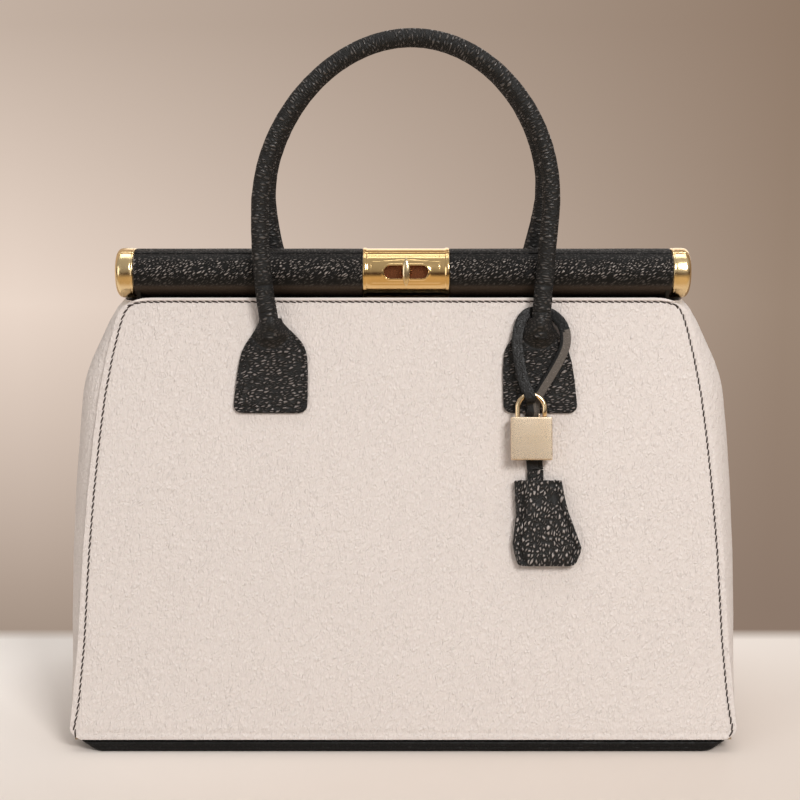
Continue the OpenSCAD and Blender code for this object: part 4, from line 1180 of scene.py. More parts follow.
# %% Turning knob
KNOB_L, KNOB_W, KNOB_T, KNOB_BASE = 15.9, 4.6, 3.2, 14.2


def blunt(value, power):
    """A power that keeps the sign, which makes a round section fuller."""
    return math.copysign(abs(value) ** power, value) if abs(value) > 1e-6 else 0.0


def almond(share):
    """Half width of the knob at a share of its half length: full in the middle, pointed at the ends."""
    return KNOB_W / 2 * (1 - share ** 2) ** 0.85


sections = []
for i in range(33):
    s = math.sin(math.pi / 2 * (2 * i / 32 - 1))
    half = max(0.05, almond(abs(s)))
    rise = KNOB_T * (0.35 + 0.65 * (1 - abs(s) ** 2.2) ** 0.6)
    ring = []
    for a in turns(20):
        height = rise - KNOB_T / 2 if math.sin(a) > 0 else KNOB_T / 2
        out = KNOB_BASE + KNOB_T / 2 + height * blunt(math.sin(a), 0.75)
        ring.append(clasp_point(half * blunt(math.cos(a), 0.8), s * KNOB_L / 2, out))
    sections.append(ring)
STEM_ROWS = [(9.0, 2.9), (9.5, 3.1), (10.0, 2.9), (10.4, 2.05), (13.6, 2.0), (14.6, 2.3)]
stem = rings("stem", [[clasp_point(r * math.cos(a), r * math.sin(a), d) for a in turns(24)]
                      for d, r in STEM_ROWS])
knob = join("turning_knob", [rings("turning_knob_head", sections), stem])
outwards(knob)
paint(knob, knob_gold)
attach(knob, "turn_knob")
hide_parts("turn_knob")
print("knob", [round(c * 1000, 1) for c in knob.dimensions])

# %% [markdown]
# ## Rolled handles
# A handle is a strip of leather rolled round a cord and glued, so it is round, shows short creases across
# it, and has a raised seam along its inner side. It is a skin over rings along one path: out of the tab,
# up the leg, round the arch and down again. The path is cut into pieces: the roll, and an upper and a
# lower neck at each end.

# %% Path of a handle
NECK_R, LEG_FOOT, LEG_IN = 4.95, -9.0, 3.1
LEG_DROP = HOOP_RISE - LEG_FOOT
LEG_CURVE = (LEG_DROP ** 2 + LEG_IN ** 2) / (2 * LEG_IN)
TAB_V, TAB_L, TAB_T = PANEL_LEN - 61.5, 50.6, 1.8
NARROW_FROM, NARROW_RATE = 40.0, 0.0012         # above this height the hoop narrows by this share a mm
LEAN_FROM, LEAN_RATE, LEAN_LEAST = 36.0, 0.04, -0.8
FOLD_FROM, FOLD_RATE, FOLD_LEAST, FOLD_MOST = 57.0, 0.0021, 0.6, 6.0


def handle_point(x, rise):
    """A point in the plane of the front handle, by its height above the axis of the bar."""
    return Vector((FRONT_SHIFT + x, -HANDLE_Y + rise * math.sin(HANDLE_LEAN),
                   BAR_Z + rise * math.cos(HANDLE_LEAN)))


def lean_right(rise):
    """How far the hoop stands to the right of its tabs, which grows with its height."""
    return max(LEAN_LEAST, (rise - LEAN_FROM) * LEAN_RATE)


def rear_fold(rise):
    """How far each leg of the rear handle has folded inwards."""
    return min(FOLD_MOST, FOLD_LEAST + FOLD_RATE * max(0.0, FOLD_FROM - rise) ** 2)


def handle_path():
    """Points in millimetres from inside the left tab to inside the right tab."""
    leg = []
    for i in range(24):
        rise = lerp(LEG_FOOT, HOOP_RISE, i / 24)
        leg.append((HOOP_R - LEG_CURVE + math.sqrt(LEG_CURVE ** 2 - (HOOP_RISE - rise) ** 2), rise))
    arch = []
    for i in range(97):
        a = math.pi * i / 96
        arch.append((HOOP_R * math.cos(a), HOOP_RISE + HOOP_R * math.sin(a)))
    upper = []
    for x, rise in [(-x, rise) for x, rise in leg] + arch[::-1] + leg[::-1]:
        narrowed = x * (1 - NARROW_RATE * max(0.0, rise - NARROW_FROM))
        upper.append(handle_point(narrowed + lean_right(rise), rise))
    foot = front(FRONT_SHIFT - TAB_X, TAB_V + 0.80 * TAB_L, 3.0) / MM
    steer_a = (front(0, 1, 0.42) - front(0, 0, 0)).normalized() * 17
    steer_b = (upper[1] - upper[0]).normalized() * 15
    neck, mirror = [], []
    for i in range(16):
        t = i / 16
        neck.append(foot * (2 * t ** 3 - 3 * t ** 2 + 1) + steer_a * (t ** 3 - 2 * t ** 2 + t)
                    + upper[0] * (3 * t ** 2 - 2 * t ** 3) + steer_b * (t ** 3 - t ** 2))
    for p in reversed(neck):
        lean = 2 * lean_right(0) * smooth((p.z - 215) / 25)
        mirror.append(Vector((2 * FRONT_SHIFT - p.x + lean, p.y, p.z)))
    return neck + upper + mirror, len(neck)


PATH, NECK_POINTS = handle_path()
LENGTHS = [0.0]
for a, b in zip(PATH, PATH[1:]):
    LENGTHS.append(LENGTHS[-1] + (b - a).length)
print("handle length", round(LENGTHS[-1]), "mm from tab to tab")


# %% Skin of a handle
ROLL_SIDES, REAR_SHIFT = 40, 1.1


def unroll(obj, lengths, girth, cols):
    """A UV map in metres over a skin of rings: along the piece and round it."""
    uv = obj.data.uv_layers.new(name="UVMap")
    for face in obj.data.polygons:
        index = [obj.data.loops[k].vertex_index for k in face.loop_indices]
        columns = [i % cols for i in index]
        wraps = max(columns) - min(columns) > cols / 2
        for k, i in zip(face.loop_indices, index):
            row, col = min(i // cols, len(lengths) - 1), i % cols
            turn = (col + cols if wraps and col < cols / 2 else col) / cols
            uv.data[k].uv = (lengths[row] * MM, turn * girth * MM)


def roll_rings(first, last):
    """Rings of the front handle between two places of its path, each with a raised inner seam."""
    sections = []
    middle = Vector((FRONT_SHIFT, 0, 0)) + handle_point(-FRONT_SHIFT, HOOP_RISE * 0.4)
    for i in range(first, last + 1):
        a, b = PATH[max(i - 1, 0)], PATH[min(i + 1, len(PATH) - 1)]
        along = (b - a).normalized()
        flat = handle_point(0, 1) - handle_point(0, 0)
        normal = Vector((1, 0, 0)).cross(flat).normalized()
        inner = normal.cross(along).normalized()
        if inner.dot(middle - PATH[i]) < 0:
            inner = -inner
        out = along.cross(inner).normalized()
        s = LENGTHS[i]
        radius = lerp(NECK_R, ROLL_R, smooth((min(s, LENGTHS[-1] - s) - 12) / 26))
        ring = []
        for angle in turns(ROLL_SIDES):
            seam = min(angle, 2 * math.pi - angle)
            r = radius - 0.10 + 0.42 * math.exp(-(seam / 0.13) ** 2)
            r -= 0.12 * math.exp(-((seam - 0.33) / 0.12) ** 2)
            r += 0.16 * noise.noise(Vector((s * 0.30, math.cos(angle) * 1.2, math.sin(angle) * 1.2)))
            ring.append((PATH[i] + inner * (r * math.cos(angle)) + out * (r * math.sin(angle))) * MM)
        sections.append(ring)
    return sections


def roll_piece(name, first, last):
    """The skin of the front handle between two places of its path."""
    obj = rings(name, roll_rings(first, last))
    unroll(obj, LENGTHS[first:last + 1], 2 * math.pi * ROLL_R, ROLL_SIDES)
    paint(obj, roll_leather)
    return obj


def folded_inwards(obj):
    """Moves a copy to its place behind: it leans as the front handle does, and its legs fold inwards."""
    for v in obj.data.vertices:
        rise = v.co.z / MM - BAR_Z
        side = -1 if v.co.x < 0 else 1
        inward = side * rear_fold(rise) * smooth((HOOP_RISE + 60 - rise) / 40)
        free = smooth((rise + 23) / 20)
        v.co.x += (FRONT_SHIFT + free * (2 * lean_right(rise) + REAR_SHIFT - inward)) * MM


CUT = NECK_POINTS - 7       # where the neck passes from the fold of the frame to the tilt of the handle
TOP = NECK_POINTS + 2
END = len(PATH) - 1
PIECES = {
    "roll": (TOP, END - TOP), "left_upper_neck": (CUT, TOP), "left_lower_neck": (0, CUT),
    "right_upper_neck": (END - TOP, END - CUT), "right_lower_neck": (END - CUT, END),
}
print("neck cut at z", round(PATH[CUT].z, 1), "and", round(PATH[TOP].z, 1))

# %% Front and rear handles
BEHIND_SIDE = {"left": "right", "right": "left"}        # a half turn swaps the sides
for part, (first, last) in PIECES.items():
    made = roll_piece(f"front_handle_{part}", first, last)
    copy = turned(made, f"rear_handle_{part}")
    folded_inwards(copy)
    for half, obj in (("front", made), ("rear", copy)):
        if part == "roll":
            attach(obj, f"{half}_handle")
            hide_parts(f"{half}_handle_leather", f"{half}_handle_filler")
            continue
        side = part.split("_")[0]
        side = side if half == "front" else BEHIND_SIDE[side]
        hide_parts(f"{half}_{side}_neck")
        if "lower" in part:
            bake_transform(obj)
        else:
            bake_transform(obj)
print("handles done")

# %% [markdown]
# ## Tabs
# Each leg ends in a leather tab that is sewn flat on the panel. The roll dives into it and the leather
# spreads over it as a smooth cone, with a few creases at its foot, while the flat part keeps a strong
# slanting grain. The tab is a grid under one outline, raised by the cone and pulled in along its seam.

# %% Tab shape
TAB_LEFT = [(0, -15.6), (0.010, -17.6), (0.03, -19.0), (0.06, -19.75), (0.12, -19.7), (0.35, -18.6),
            (0.55, -17.1), (0.66, -15.6), (0.74, -13.6), (0.80, -11.6), (0.86, -9.4), (0.91, -7.6),
            (0.96, -6.5), (1.0, -6.1)]
TAB_RIGHT = [(0, 15.2), (0.012, 17.4), (0.035, 18.9), (0.07, 19.7), (0.15, 19.9), (0.45, 20.0), (0.60, 19.6),
             (0.68, 18.6), (0.75, 16.9), (0.81, 14.3), (0.86, 11.8), (0.91, 9.0), (0.96, 6.8), (1.0, 5.9)]
CONE_V, CONE_RISE = TAB_V + 0.955 * TAB_L, 8.6
TAB_SEAM = 3.1              # the stitches of a tab run this far inside its edge


def cone_reach(x, v):
    """Distance from the roll as a share of the reach of the cone."""
    down = (CONE_V - v) / 14.5 if v < CONE_V else (v - CONE_V) / 30
    wide = 9.5 + 3.2 * smooth((CONE_V - v) / 7)
    return math.hypot(x / wide, down)


def tab_face(x, v, left, right):
    """How far the face of a tab stands out from the panel."""
    u = (v - TAB_V) / TAB_L
    inside = min(x - left, right - x, v - TAB_V)
    rho = cone_reach(x, v)
    d = TAB_T - edge_fall(inside, 0.7, 0.45)
    if rho < 1:
        d += CONE_RISE * (1 - rho ** 2) ** 1.6
    foot = smooth((CONE_V - v - 7) / 4)
    d += 0.22 * math.cos((rho - 1) * 52) * math.exp(-((rho - 1.02) / 0.11) ** 2) * foot
    if u < 0.84:
        sewn = smooth((0.86 - u) / 0.08)
        along = v if inside < v - TAB_V - 0.01 else x
        d += (0.16 * math.cos(2 * math.pi * along / 2.6) - 0.1) * smooth((3.0 - inside) / 0.8) * sewn
        d -= 0.60 * math.exp(-((inside - TAB_SEAM) / 0.75) ** 2) * sewn
    return d


def tab_row(u):
    """The height and the left and right edges of a tab, by its share of the height."""
    return TAB_V + u * TAB_L, table(TAB_LEFT, u), table(TAB_RIGHT, u)


def tab_sheet(flip):
    """A tab in the plane of its panel, centred on x 0; flip swaps its left and right outlines."""
    up = spread([0.004, 0.01, 0.02, 0.035, 0.05, 0.065, 0.08, 0.10], 56)
    across = spread([0.006, 0.015, 0.03, 0.05, 0.07, 0.09, 0.11], 40)
    top, low, tight = [], [], []
    for u in up:
        v, left, right = tab_row(u)
        if flip:
            left, right = -right, -left
        for s in across:
            x = lerp(left, right, s)
            top.append((x, v, tab_face(x, v, left, right)))
            low.append((x, v, 0.02))
            tight.append(0.85 * (1 - smooth((cone_reach(x, v) - 0.93) / 0.12)))
    return top + low, double_faces(len(up), len(across)), tight + [0.0] * len(low)


def paint_edges(obj, side, material):
    """Gives a flat leather piece its finish, and a painted edge."""
    paint(obj, material, edge_paint)
    for face in obj.data.polygons:
        if abs(face.normal.dot(outward(side))) < 0.35:
            face.material_index = 1


def tab(name, side, x, flip):
    """A tab on a panel, whose cone carries the value tight."""
    points, faces, tight = tab_sheet(flip)
    obj = make(name, [side(x + px, v, d) for px, v, d in points], faces)
    attribute = obj.data.attributes.new("tight", "FLOAT", "POINT")
    attribute.data.foreach_set("value", tight[:len(obj.data.vertices)])
    paint_edges(obj, side, tab_leather)
    return obj


def tab_seam(side, x, flip):
    """Rows of stitches down both sides and along the foot of a tab."""
    def at(px, v, left, right):
        if flip:
            px, left, right = -px, -right, -left
        return side(x + px, v, tab_face(px, v, left, right) + 0.05), outward(side)

    steps = [tab_row(lerp(0.80, 0.075, i / 59)) for i in range(60)]
    rows = [[at(left + TAB_SEAM, v, left, right) for v, left, right in steps],
            [at(right - TAB_SEAM, v, left, right) for v, left, right in steps]]
    left, right = tab_row(0.061)[1:]
    rows.append([at(px, TAB_V + TAB_SEAM, left, right) for px in np.linspace(left + 4.2, right - 4.2, 40)])
    return rows


for half, side, shift in (("front", front, FRONT_SHIFT), ("rear", rear, 0.0)):
    for name, x, flip in (("left", shift - TAB_X, False), ("right", shift + TAB_X, True)):
        piece = tab(f"{half}_{name}_tab_leather", side, x, flip)
        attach(piece, f"{half}_panel")
        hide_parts(f"{half}_{name}_tab")
        seam = stitches(f"{half}_{name}_tab_stitches", tab_seam(side, x, flip), black_thread, step=3.0,
                        long=2.2, thick=0.6, askew=0)
        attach(seam, f"{half}_panel")
print("tab", len(piece.data.polygons), "faces")

# %% [markdown]
# The upper edge of each panel hangs on its half of the bar by a black leather strip that runs in under
# the bar.

# %% Hinge strips
HINGE_HALF = 138.0
HINGE_FROM, HINGE_TO = (12.9, 231.6), (8.3, 232.7)          # distance from the middle, and height


def hinge_sheet(name, s):
    """A strip across the bag that bows a little, s 1 for the rear."""
    sections = []
    for i in range(61):
        x = lerp(-HINGE_HALF, HINGE_HALF, i / 60)
        ring = []
        for k in range(12):
            t = k / 11
            bow = 0.2 * math.sin(math.pi * t) + 0.1 * noise.noise(Vector((x * 0.05, t * 2, s)))
            ring.append((lerp(HINGE_FROM[0], HINGE_TO[0], t), lerp(HINGE_FROM[1], HINGE_TO[1], t) - bow))
        outer = [Vector((x, s * y, z + 0.35)) * MM for y, z in ring]
        inner = [Vector((x, s * y, z - 0.4)) * MM for y, z in reversed(ring)]
        sections.append(outer + inner)
    obj = rings(name, sections)
    paint(obj, base_leather)
    return obj


for half, s in (("front", -1), ("rear", 1)):
    strip = hinge_sheet(f"{half}_hinge_leather", s)
    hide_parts(f"{half}_hinge_strip")
    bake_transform(strip)
print("hinge strips done")

# %% [markdown]
# ## Charm strap
# One black strap carries the charm. It rises behind the padlock, comes forward through the shackle, goes
# up past the left of the roll, round behind it, and down the right to where it began. It is a flat band
# swept along that route, with soft edges. Its outer face is dyed and smooth, and its back is raw and
# paler, which shows on the right where the band turns.

# %% Route of the strap
LOCK_X, LOCK_D, CASE_TOP, CASE_BOTTOM, CASE_W, CASE_T = 68.3, 6.5, 171.884, 148.884, 22.0, 6.4
ARCH_TOP, CROSS_V, LOOP_V, STRAP_END, FRONT_D = 185.284, 180.384, 229.184, 143.984, 8.55
UNDER_D, OVER_D, LOOP_HALF, STRAP_W, STRAP_T = 0.9, 2.0, 13.6, 6.0, 0.8

# Each row is a share across, a share of the height, a share of the distance out and a share of the width.
BEHIND = [(0.18, 0), (0.14, 0.18), (0.07, 0.9), (0.07, 0.99)]
WINDOW = [(0.05, 0.28, 0.45, 1), (0.037, 0.59, 0.475, 0.88), (0.022, 0.81, 0.485, 0.88),
          (0, 0.95, 0.55, 0.88), (0, 1, 0.655, 0.88), (-0.007, 1, 0.865, 0.88), (-0.015, 1.06, 0.965, 0.88)]
RISING = [(-0.03, 0.037, 1, 1), (-0.103, 0.10, 1, 1), (-0.25, 0.182, 0.924, 1), (-0.412, 0.379, 0.772, 1),
          (-0.50, 0.543, 0.632, 1), (-0.52, 0.686, 0.49, 1), (-0.441, 0.809, 0.34, 1),
          (-0.309, 0.912, 0.3, 1), (-0.059, 0.982, 0.27, 1), (0.324, 1, 0.117, 1)]
FALLING = [(0.691, 0.993, 0.235, 1), (1.015, 0.949, 0.31, 1), (1.279, 0.873, 0.34, 1),
           (1.397, 0.768, 0.386, 1), (1.338, 0.653, 0.433, 1), (1.088, 0.524, 0.421, 1),
           (0.765, 0.391, 0.398, 1), (0.441, 0.269, 0.363, 1), (0.221, 0.175, 0.352, 1),
           (0.147, 0.042, 0.34, 1)]


def behind(shift, d):
    """The route behind the padlock, from the lower end up, at one distance from the panel."""
    return [(LOCK_X + a * LOOP_HALF + shift, lerp(STRAP_END, CASE_TOP, b), d, 1) for a, b in BEHIND]


def stretch(rows, v0, v1):
    """A part of the route between two heights."""
    return [(LOCK_X + a * LOOP_HALF, lerp(v0, v1, b), c * FRONT_D, w) for a, b, c, w in rows]


ROUTE = behind(-1.4, OVER_D)
ROUTE += stretch(WINDOW, CASE_TOP, CROSS_V) + stretch(RISING, CROSS_V, LOOP_V)
ROUTE += stretch(FALLING, CASE_TOP, LOOP_V) + behind(1.4, UNDER_D)[::-1]


def bend(a, b, c, d, t):
    """A smooth curve through b and c."""
    return 0.5 * (2 * b + (c - a) * t + (2 * a - 5 * b + 4 * c - d) * t * t
                  + (3 * b - a - 3 * c + d) * t ** 3)


def band_frames(route, steps):
    """Places along a band with its width direction and its facing direction, all in the panel's plane."""
    spots = [Vector(row[:3]) for row in route]
    sides = []
    for i in range(len(spots)):
        d = (spots[min(i + 1, len(spots) - 1)] - spots[max(i - 1, 0)]).normalized()
        flat = math.hypot(d.x, d.y)
        sides.append(Vector((d.y, -d.x, 0)).normalized() if flat > 0.3 else Vector((1, 0, 0)))
    frames = []
    last = len(spots) - 1
    for i in range(last):
        q = [spots[max(i - 1, 0)], spots[i], spots[i + 1], spots[min(i + 2, last)]]
        for k in range(steps if i < last - 1 else steps + 1):
            t = k / steps
            frames.append((bend(*q, t), sides[i].lerp(sides[i + 1], smooth(t)).normalized(),
                           lerp(route[i][3], route[i + 1][3], t), i + t))
    result = []
    for j, (p, side, width, place) in enumerate(frames):
        d = (frames[min(j + 1, len(frames) - 1)][0] - frames[max(j - 1, 0)][0]).normalized()
        side = (side - d * side.dot(d)).normalized()
        result.append((p, side, side.cross(d).normalized(), width, place))
    return result


print("strap route of", len(ROUTE), "rows")

# %% Strap band
BAND = [(-0.5, -0.15), (-0.485, -0.4), (-0.45, -0.5), (-0.2, -0.5), (0.0, -0.5), (0.2, -0.5), (0.45, -0.5),
        (0.485, -0.4), (0.5, -0.15), (0.5, 0.15), (0.485, 0.4), (0.45, 0.5), (0.2, 0.5), (0.0, 0.5),
        (-0.2, 0.5), (-0.45, 0.5), (-0.485, 0.4), (-0.5, 0.15)]
FALL_START = len(BEHIND) + len(WINDOW) + len(RISING)
TWIST_START, BACK_START, BACK_END = 0.4, 2.6, 9.4       # rows of FALLING between which the back shows
PAINTED_SHADE_FROM = 1.3            # the back shows pale up to this far right of its middle; beyond it, its face takes the black edge finish as painted shade


def band(name, route, width, thick, steps=6):
    """A flat band along a route, with a UV map in metres."""
    frames = band_frames(route, steps)
    sections, lengths = [], [0.0]
    for j, (p, side, facing, share, _) in enumerate(frames):
        sections.append([front(*(p + side * (a * width * share) + facing * (b * thick))) for a, b in BAND])
        if j:
            lengths.append(lengths[-1] + (p - frames[j - 1][0]).length)
    obj = rings(name, sections)
    unroll(obj, lengths, 2 * (width + thick), len(BAND))
    return obj, frames


strap, frames = band("charm_strap_band", ROUTE, STRAP_W - 0.1, STRAP_T - 0.06)
paint(strap, strap_leather, strap_back, strap_edge_and_shade)
centres = [front(*f[0]) for f in frames]
for face in strap.data.polygons:
    j = min(range(len(frames)), key=lambda k: (centres[k] - face.center).length_squared)
    p, side, facing, _, place = frames[j]
    out = front(*(p + facing)) - front(*p)
    flat = face.normal.dot(out.normalized())
    across = (face.center - centres[j]).dot((front(*(p + side)) - front(*p)).normalized()) / MM
    row = place - FALL_START
    # Where the back shows, its face beyond that distance takes the black edge finish: painted shade for the
    # part of the band that turns away from the light. The sides and the stretch where the band twists take
    # the same black finish.
    if BACK_START < row < BACK_END and flat > 0.5:
        face.material_index = 1 if across < PAINTED_SHADE_FROM else 2
    elif TWIST_START < row < BACK_START + 0.1 or abs(flat) <= 0.5:
        face.material_index = 2
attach(strap, "charm_strap")
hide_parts("charm_strap")
print("strap", len(strap.data.polygons), "faces, place of the bend", FALL_START)

# %% [markdown]
# ## Padlock
# The case is a solid brass block, plated and brushed upright, with its edges broken so that they catch
# the light. The shackle is round wire that dives into two collars in the case. The plug at the foot has a
# keyway and turns with the key.

# %% Padlock case
def lock_point(x, v, d):
    """A point of the padlock: across and out from its middle, by its height up the slope."""
    return front(LOCK_X + x, v, LOCK_D + d)


def case_ring(inset, v):
    """A rounded outline of the case seen from above, drawn in by an inset, with a low crown in front."""
    ring = []
    half_w, half_t, r = CASE_W / 2 - inset, CASE_T / 2 - inset, max(0.25, 0.75 - inset)
    for cx, cy, start in ((1, 1, 0), (-1, 1, 90), (-1, -1, 180), (1, -1, 270)):
        for k in range(7):
            a = math.radians(start + 15 * k)
            ring.append((cx * (half_w - r) + r * math.cos(a), cy * (half_t - r) + r * math.sin(a)))
        if cx == cy == 1 or cx == cy == -1:
            for k in range(1, 16):
                ring.append((cx * (half_w - r) * (1 - k / 8), cy * half_t))
    return [lock_point(x, v, d) for x, d in ring]


CASE_ROWS = [(0.0, 0.75), (0.1, 0.42), (0.3, 0.16), (0.55, 0.04), (0.8, 0.0), (11.5, 0.0), (22.2, 0.0),
             (22.45, 0.04), (22.7, 0.16), (22.9, 0.42), (23.0, 0.75)]
case = rings("padlock_case_block", [case_ring(inset, CASE_BOTTOM + rise) for rise, inset in CASE_ROWS])


def turned_rod(name, x, profile, sides=32):
    """A round piece along the slope of the panel, from rows of (v, radius)."""
    return rings(name, [[lock_point(x + r * math.cos(a), v, r * math.sin(a)) for a in turns(sides)]
                        for v, r in profile])


WIRE_R, LEG_GAP, LEG_BORE_R, PLUG_BORE_R = 1.35, 14.4, 1.55, 2.8
for x, low in ((-LEG_GAP / 2, CASE_BOTTOM + 3.4), (LEG_GAP / 2, CASE_TOP - 2.9)):
    cut(case, turned_rod("leg_bore", x, [(low, LEG_BORE_R), (CASE_TOP + 0.5, LEG_BORE_R)]))
cut(case, turned_rod("plug_bore", 0, [(CASE_BOTTOM - 0.5, PLUG_BORE_R), (CASE_BOTTOM + 8.2, PLUG_BORE_R)]))
pin = turned_rod("guide_pin", 4.3, [(CASE_TOP - 0.6, 0.5), (CASE_TOP + 1.6, 0.5), (CASE_TOP + 1.9, 0.42),
                                    (CASE_TOP + 2.05, 0.22)], sides=16)
case = join("padlock_block", [case, pin])
outwards(case)
modifier(case, "WEIGHTED_NORMAL", keep_sharp=True)
finish_mesh(case)
paint(case, satin_gold)
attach(case, "padlock_case")
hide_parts("padlock_case")
print("case", len(case.data.polygons), "faces")

# %% Shackle and plug
bow_r = LEG_GAP / 2
arch_v = ARCH_TOP - WIRE_R - bow_r
wire_path = [(-bow_r, CASE_TOP - 17.0), (-bow_r, CASE_TOP - 8), (-bow_r, arch_v - 1)]
for i in range(41):
    a = math.pi * i / 40
    wire_path.append((-bow_r * math.cos(a), arch_v + bow_r * math.sin(a)))
wire_path += [(bow_r, arch_v - 1), (bow_r, CASE_TOP - 2.6)]
bow = []
for i, (x, v) in enumerate(wire_path):
    a, b = wire_path[max(i - 1, 0)], wire_path[min(i + 1, len(wire_path) - 1)]
    d = Vector((b[0] - a[0], b[1] - a[1])).normalized()
    r = WIRE_R if 0 < i < len(wire_path) - 1 else WIRE_R - 0.25
    bow.append([lock_point(x - d.y * r * math.cos(t), v + d.x * r * math.cos(t), r * math.sin(t))
                for t in turns(28)])
shackle = rings("padlock_bow", bow)
paint(shackle, wire_gold)
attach(shackle, "padlock")
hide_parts("padlock_shackle")

plug = turned_rod("padlock_plug_core", 0, [(CASE_BOTTOM + 0.02, 2.1), (CASE_BOTTOM + 0.12, 2.4),
                                           (CASE_BOTTOM + 0.35, 2.55), (CASE_BOTTOM + 8.0, 2.55)])
KEYWAY = [(-1.7, -0.3), (-0.6, -0.4), (-0.6, 0.1), (1.7, 0.1), (1.7, 0.4), (-1.7, 0.4)]
cut(plug, rings("keyway", [[lock_point(x, v, d) for x, d in KEYWAY]
                           for v in (CASE_BOTTOM - 0.5, CASE_BOTTOM + 3.0)]))
outwards(plug)
paint(plug, key_brass)
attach(plug, "padlock_plug")
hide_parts("padlock_plug")
print("shackle", len(shackle.data.polygons), "plug", len(plug.data.polygons), "faces")

# %% [markdown]
# ## Key bell
# The bell is two leaves of black hide sewn together down both sides, with the key between them on a short
# strap. Each leaf is a grid under the bell's outline. It bulges in the middle, dips along the seam and
# keeps a thick painted edge.

# %% Fob strap
FOB_X, FOB_V, FOB_D, FOB_T = 70.8, 140.68, 1.65, 0.9
FOB_ROWS = [(3.2, 0.80), (3.1, 0.93), (2.8, 1.0), (0.0, 1.0), (-1.5, 1.0), (-3.0, 0.98), (-5.0, 0.86),
            (-9.0, 0.68), (-14.0, 0.68), (-19.0, 0.68)]
strands = []
for x, w, lift in ((-1.62, 5.5, 0.0), (2.72, 3.1, -0.12)):
    profile = []
    for v, share in FOB_ROWS:
        tuck = smooth((-1.0 - v) / 2.0)
        cx = lerp(x, 0.0, smooth((-2.4 - v) / 3.0))
        top = FOB_D + FOB_T * 0.98 + lift * (1 - tuck)
        low = FOB_D + 0.04
        ring = []
        for a, b in BAND:
            d = lerp(low, top, b + 0.5) - (0.18 if v > 3.15 and b > 0 else 0.0)
            ring.append(front(FOB_X + cx + a * w * share, FOB_V + v, d))
        profile.append(ring)
    strands.append(rings("strand", profile[::-1]))
fob = join("bell_fob_strap", strands)
outwards(fob)
paint(fob, bell_leather)
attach(fob, "fob")
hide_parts("fob_strap")
print("fob", [round(c * 1000, 1) for c in fob.dimensions])

# %% Bell leaves
BELL_V, BELL_W, BELL_L, LEAF_T, POUCH = FOB_V - 2.8, 36.6, 46.0, 1.2, 2.2
BELL_FOOT, BELL_TOP, BELL_SEAM = BELL_V - 0.982 * BELL_L, BELL_V + 0.4, 3.3
BELL_LEFT = [(0, -0.125), (0.004, -0.22), (0.018, -0.262), (0.055, -0.281), (0.16, -0.318), (0.255, -0.339),
             (0.27, -0.338), (0.60, -0.287), (0.98, -0.309), (0.992, -0.305), (1.0, -0.296)]
BELL_RIGHT = [(0, 0.46), (0.006, 0.52), (0.02, 0.555), (0.05, 0.583), (0.12, 0.622), (0.19, 0.655),
              (0.215, 0.655), (0.24, 0.645), (0.45, 0.555), (0.63, 0.470), (0.80, 0.42), (0.985, 0.378),
              (1.0, 0.366)]


def bell_row(u):
    """The height and the left and right edges of a leaf, by its share of the height."""
    return lerp(BELL_FOOT, BELL_TOP, u), table(BELL_LEFT, u) * BELL_W, table(BELL_RIGHT, u) * BELL_W


def bell_face(x, v, left, right, bulge):
    """How far a leaf stands out from its flat: a soft bulge, two seams and rounded edges."""
    up = v - (BELL_V - BELL_L)
    u = up / BELL_L
    side = min(x - left, right - x)
    d = LEAF_T - edge_fall(min(side, v - BELL_FOOT, BELL_TOP - v), 0.8, 0.5)
    d += bulge * smooth((side - 3.6) / 3.0) * smooth(up / 5.0) * (0.45 + 0.55 * smooth((1 - u) * 3))
    d += bulge * 0.33 * noise.noise(Vector((x * 0.12, v * 0.08, 5.0)))
    d -= 1.05 * math.exp(-((side - BELL_SEAM) / 0.8) ** 2) * smooth((u - 0.045) / 0.03)
    return d


def bell_leaf(name, flat, sign, bulge):
    """One leaf as a closed sheet whose good side faces out."""
    up = spread([0.005, 0.012, 0.022, 0.035, 0.05, 0.07], 58)
    across = spread([0.008, 0.018, 0.032, 0.055, 0.075, 0.095, 0.115, 0.14, 0.17], 40)
    good, plain_side = [], []
    for u in up:
        v, left, right = bell_row(u)
        for s in across:
            x = lerp(left, right, s)
            good.append((x, v, flat + sign * bell_face(x, v, left, right, bulge)))
            plain_side.append((x, v, flat))
    points = [front(FOB_X + x, v, d) for x, v, d in good + plain_side]
    obj = make(name, points, double_faces(len(up), len(across)))
    paint_edges(obj, front, bell_leather)
    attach(obj, "clochette")
    return obj


BACK_FLAT, FRONT_FLAT = 0.3 + LEAF_T, 0.3 + LEAF_T + POUCH
back_leaf = bell_leaf("clochette_back_leaf", BACK_FLAT, -0.9, 0.0)
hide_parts("clochette_back")
front_leaf = bell_leaf("clochette_front_leaf", FRONT_FLAT, 1.0, 1.1)
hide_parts("clochette_front")
print("leaf", len(front_leaf.data.polygons), "faces")

# %% Bell seams
FILLER_FROM, FILLER_TO = 0.25, 2.5          # the filler between the leaves, in from their edge
seams = []
for side_name, sign in (("left", 1), ("right", -1)):
    walls, row = [], []
    for i in range(49):
        v, left, right = bell_row(lerp(0.055, 0.985, i / 48))
        edge = left if sign > 0 else right
        x = edge + sign * BELL_SEAM
        d = FRONT_FLAT + bell_face(x, v, left, right, 0.75) + 0.02
        row.append((front(FOB_X + x, v, d), outward(front)))
        a, b = sorted((edge + sign * FILLER_FROM, edge + sign * FILLER_TO))
        low, high = BACK_FLAT + 0.02, FRONT_FLAT - 0.02
        walls.append([front(FOB_X + x, v, d) for x, d in ((a, low), (b, low), (b, high), (a, high))])
    wall = rings(f"bell_{side_name}_filler", walls)
    wall.data.polygons.foreach_set("use_smooth", [False] * len(wall.data.polygons))
    paint(wall, edge_paint)
    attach(wall, "clochette")
    seams.append(row)
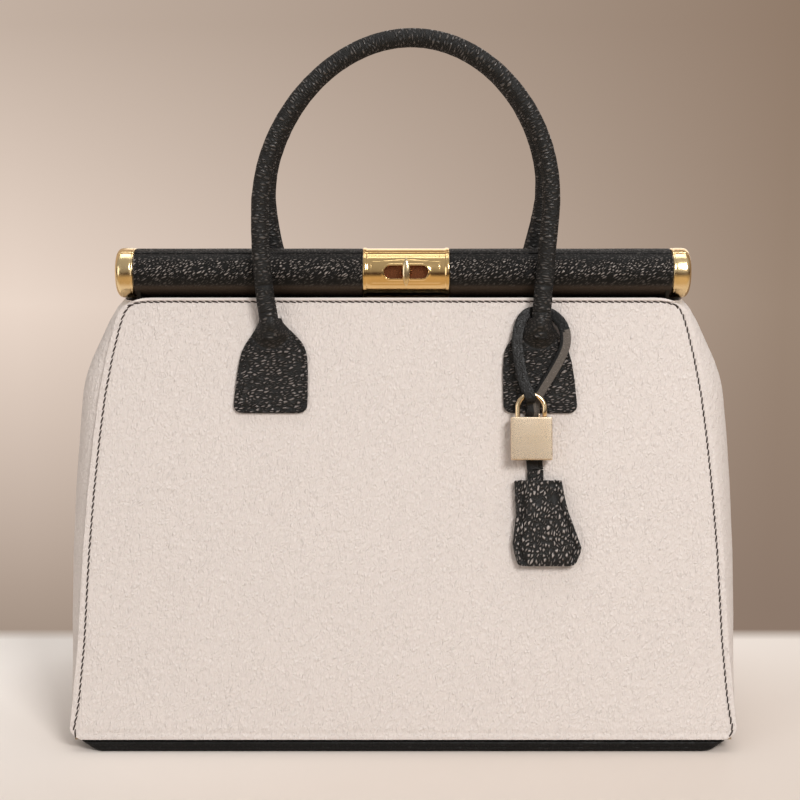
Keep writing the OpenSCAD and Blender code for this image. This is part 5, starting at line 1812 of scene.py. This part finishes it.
sewn = stitches("bell_stitches", seams, black_thread, step=3.1, long=2.3, thick=0.6, askew=0)
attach(sewn, "clochette")
print("bell seams", len(seams))

# %% [markdown]
# ## Inside
# The bag is lined. A thin cloth lies on the stiffening boards of the panels, on the side walls and on the
# floor. It is kept flat because it is glued, so it needs no cloth simulation, only a slight wave.

# %% Linings
LINING_D = -(LEATHER_T + 1.0)


def cloth_sheet(name, points, rows, cols, inside):
    """A thin cloth over a grid of points, thickened away from the side that shows."""
    obj = make(name, points, grid_faces(rows, cols))
    f = obj.data.polygons[len(obj.data.polygons) // 2]
    modifier(obj, "SOLIDIFY", thickness=0.5 * MM, offset=-1 if f.normal.dot(inside) > 0 else 1)
    finish_mesh(obj)
    outwards(obj)
    paint(obj, lining)
    return obj


for half, side in (("front", front), ("rear", rear)):
    rows, cols = 48, 60
    grid = []
    for i in range(rows):
        v = lerp(6.0, PANEL_LEN * 0.945, i / (rows - 1))
        reach = half_width(v / PANEL_LEN) - 7.5
        for j in range(cols):
            x = lerp(-reach, reach, j / (cols - 1))
            wave = 0.12 * (1 + noise.noise(Vector((x * 0.03, v * 0.03, 2.0))))
            grid.append(side(x, v, LINING_D - 0.1 - wave))
    cloth = cloth_sheet(f"{half}_lining_cloth", grid, rows, cols, side(0, 0, -1) - side(0, 0, 0))
    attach(cloth, f"{half}_panel")
    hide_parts(f"{half}_lining")
for x_name, side_x in (("left", -1), ("right", 1)):
    for y_name, side_y in (("front", -1), ("rear", 1)):
        cloth = gusset_half(f"{x_name}_gusset_{y_name}_lining", side_x, side_y, lining, lift=1.35, top=0.93,
                            thick=0.5)
        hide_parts(f"{x_name}_gusset_lining")
        fold_with(cloth)
low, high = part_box("base_lining")
rows, cols = 30, 66
grid = []
for i in range(rows):
    for j in range(cols):
        wave = 0.1 * MM * (1 + noise.noise(Vector((j * 0.2, i * 0.2, 0))))
        grid.append(Vector((lerp(low[0], high[0], j / (cols - 1)), lerp(low[1], high[1], i / (rows - 1)),
                            high[2] - wave)))
cloth = cloth_sheet("base_lining_cloth", grid, rows, cols, Vector((0, 0, 1)))
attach(cloth, "root")
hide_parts("base_lining")
print("linings done")

# %% [markdown]
# The solids whose shapes are already right stay as they are and only get their finish: the boards, the
# half tubes of the bar, the arms and pins that the frame turns on, the cup behind the clasp, its catch
# and the key.

# %% Finishes of the solids that stay
FINISHES = {
    board: ("base_board", "front_board", "rear_board"),
    steel: ("front_bar_core", "rear_bar_core", "knob_clip", "latch_cam", "striker_plate"),
    dark_steel: ("front_frame_arms", "rear_frame_arms", "pivot_pins"),
    recess: ("lock_well",),
    key_brass: ("fob_key",),
}
for material, names in FINISHES.items():
    for name in names:
        solid = bpy.data.objects[name]
        for slot in solid.material_slots:
            slot.material = material
        if not solid.material_slots:
            solid.data.materials.append(material)
print("finished solids", sum(len(names) for names in FINISHES.values()))

# %% Removing the thread loops that served as patterns
for loop in LOOPS.values():
    bpy.data.objects.remove(loop)
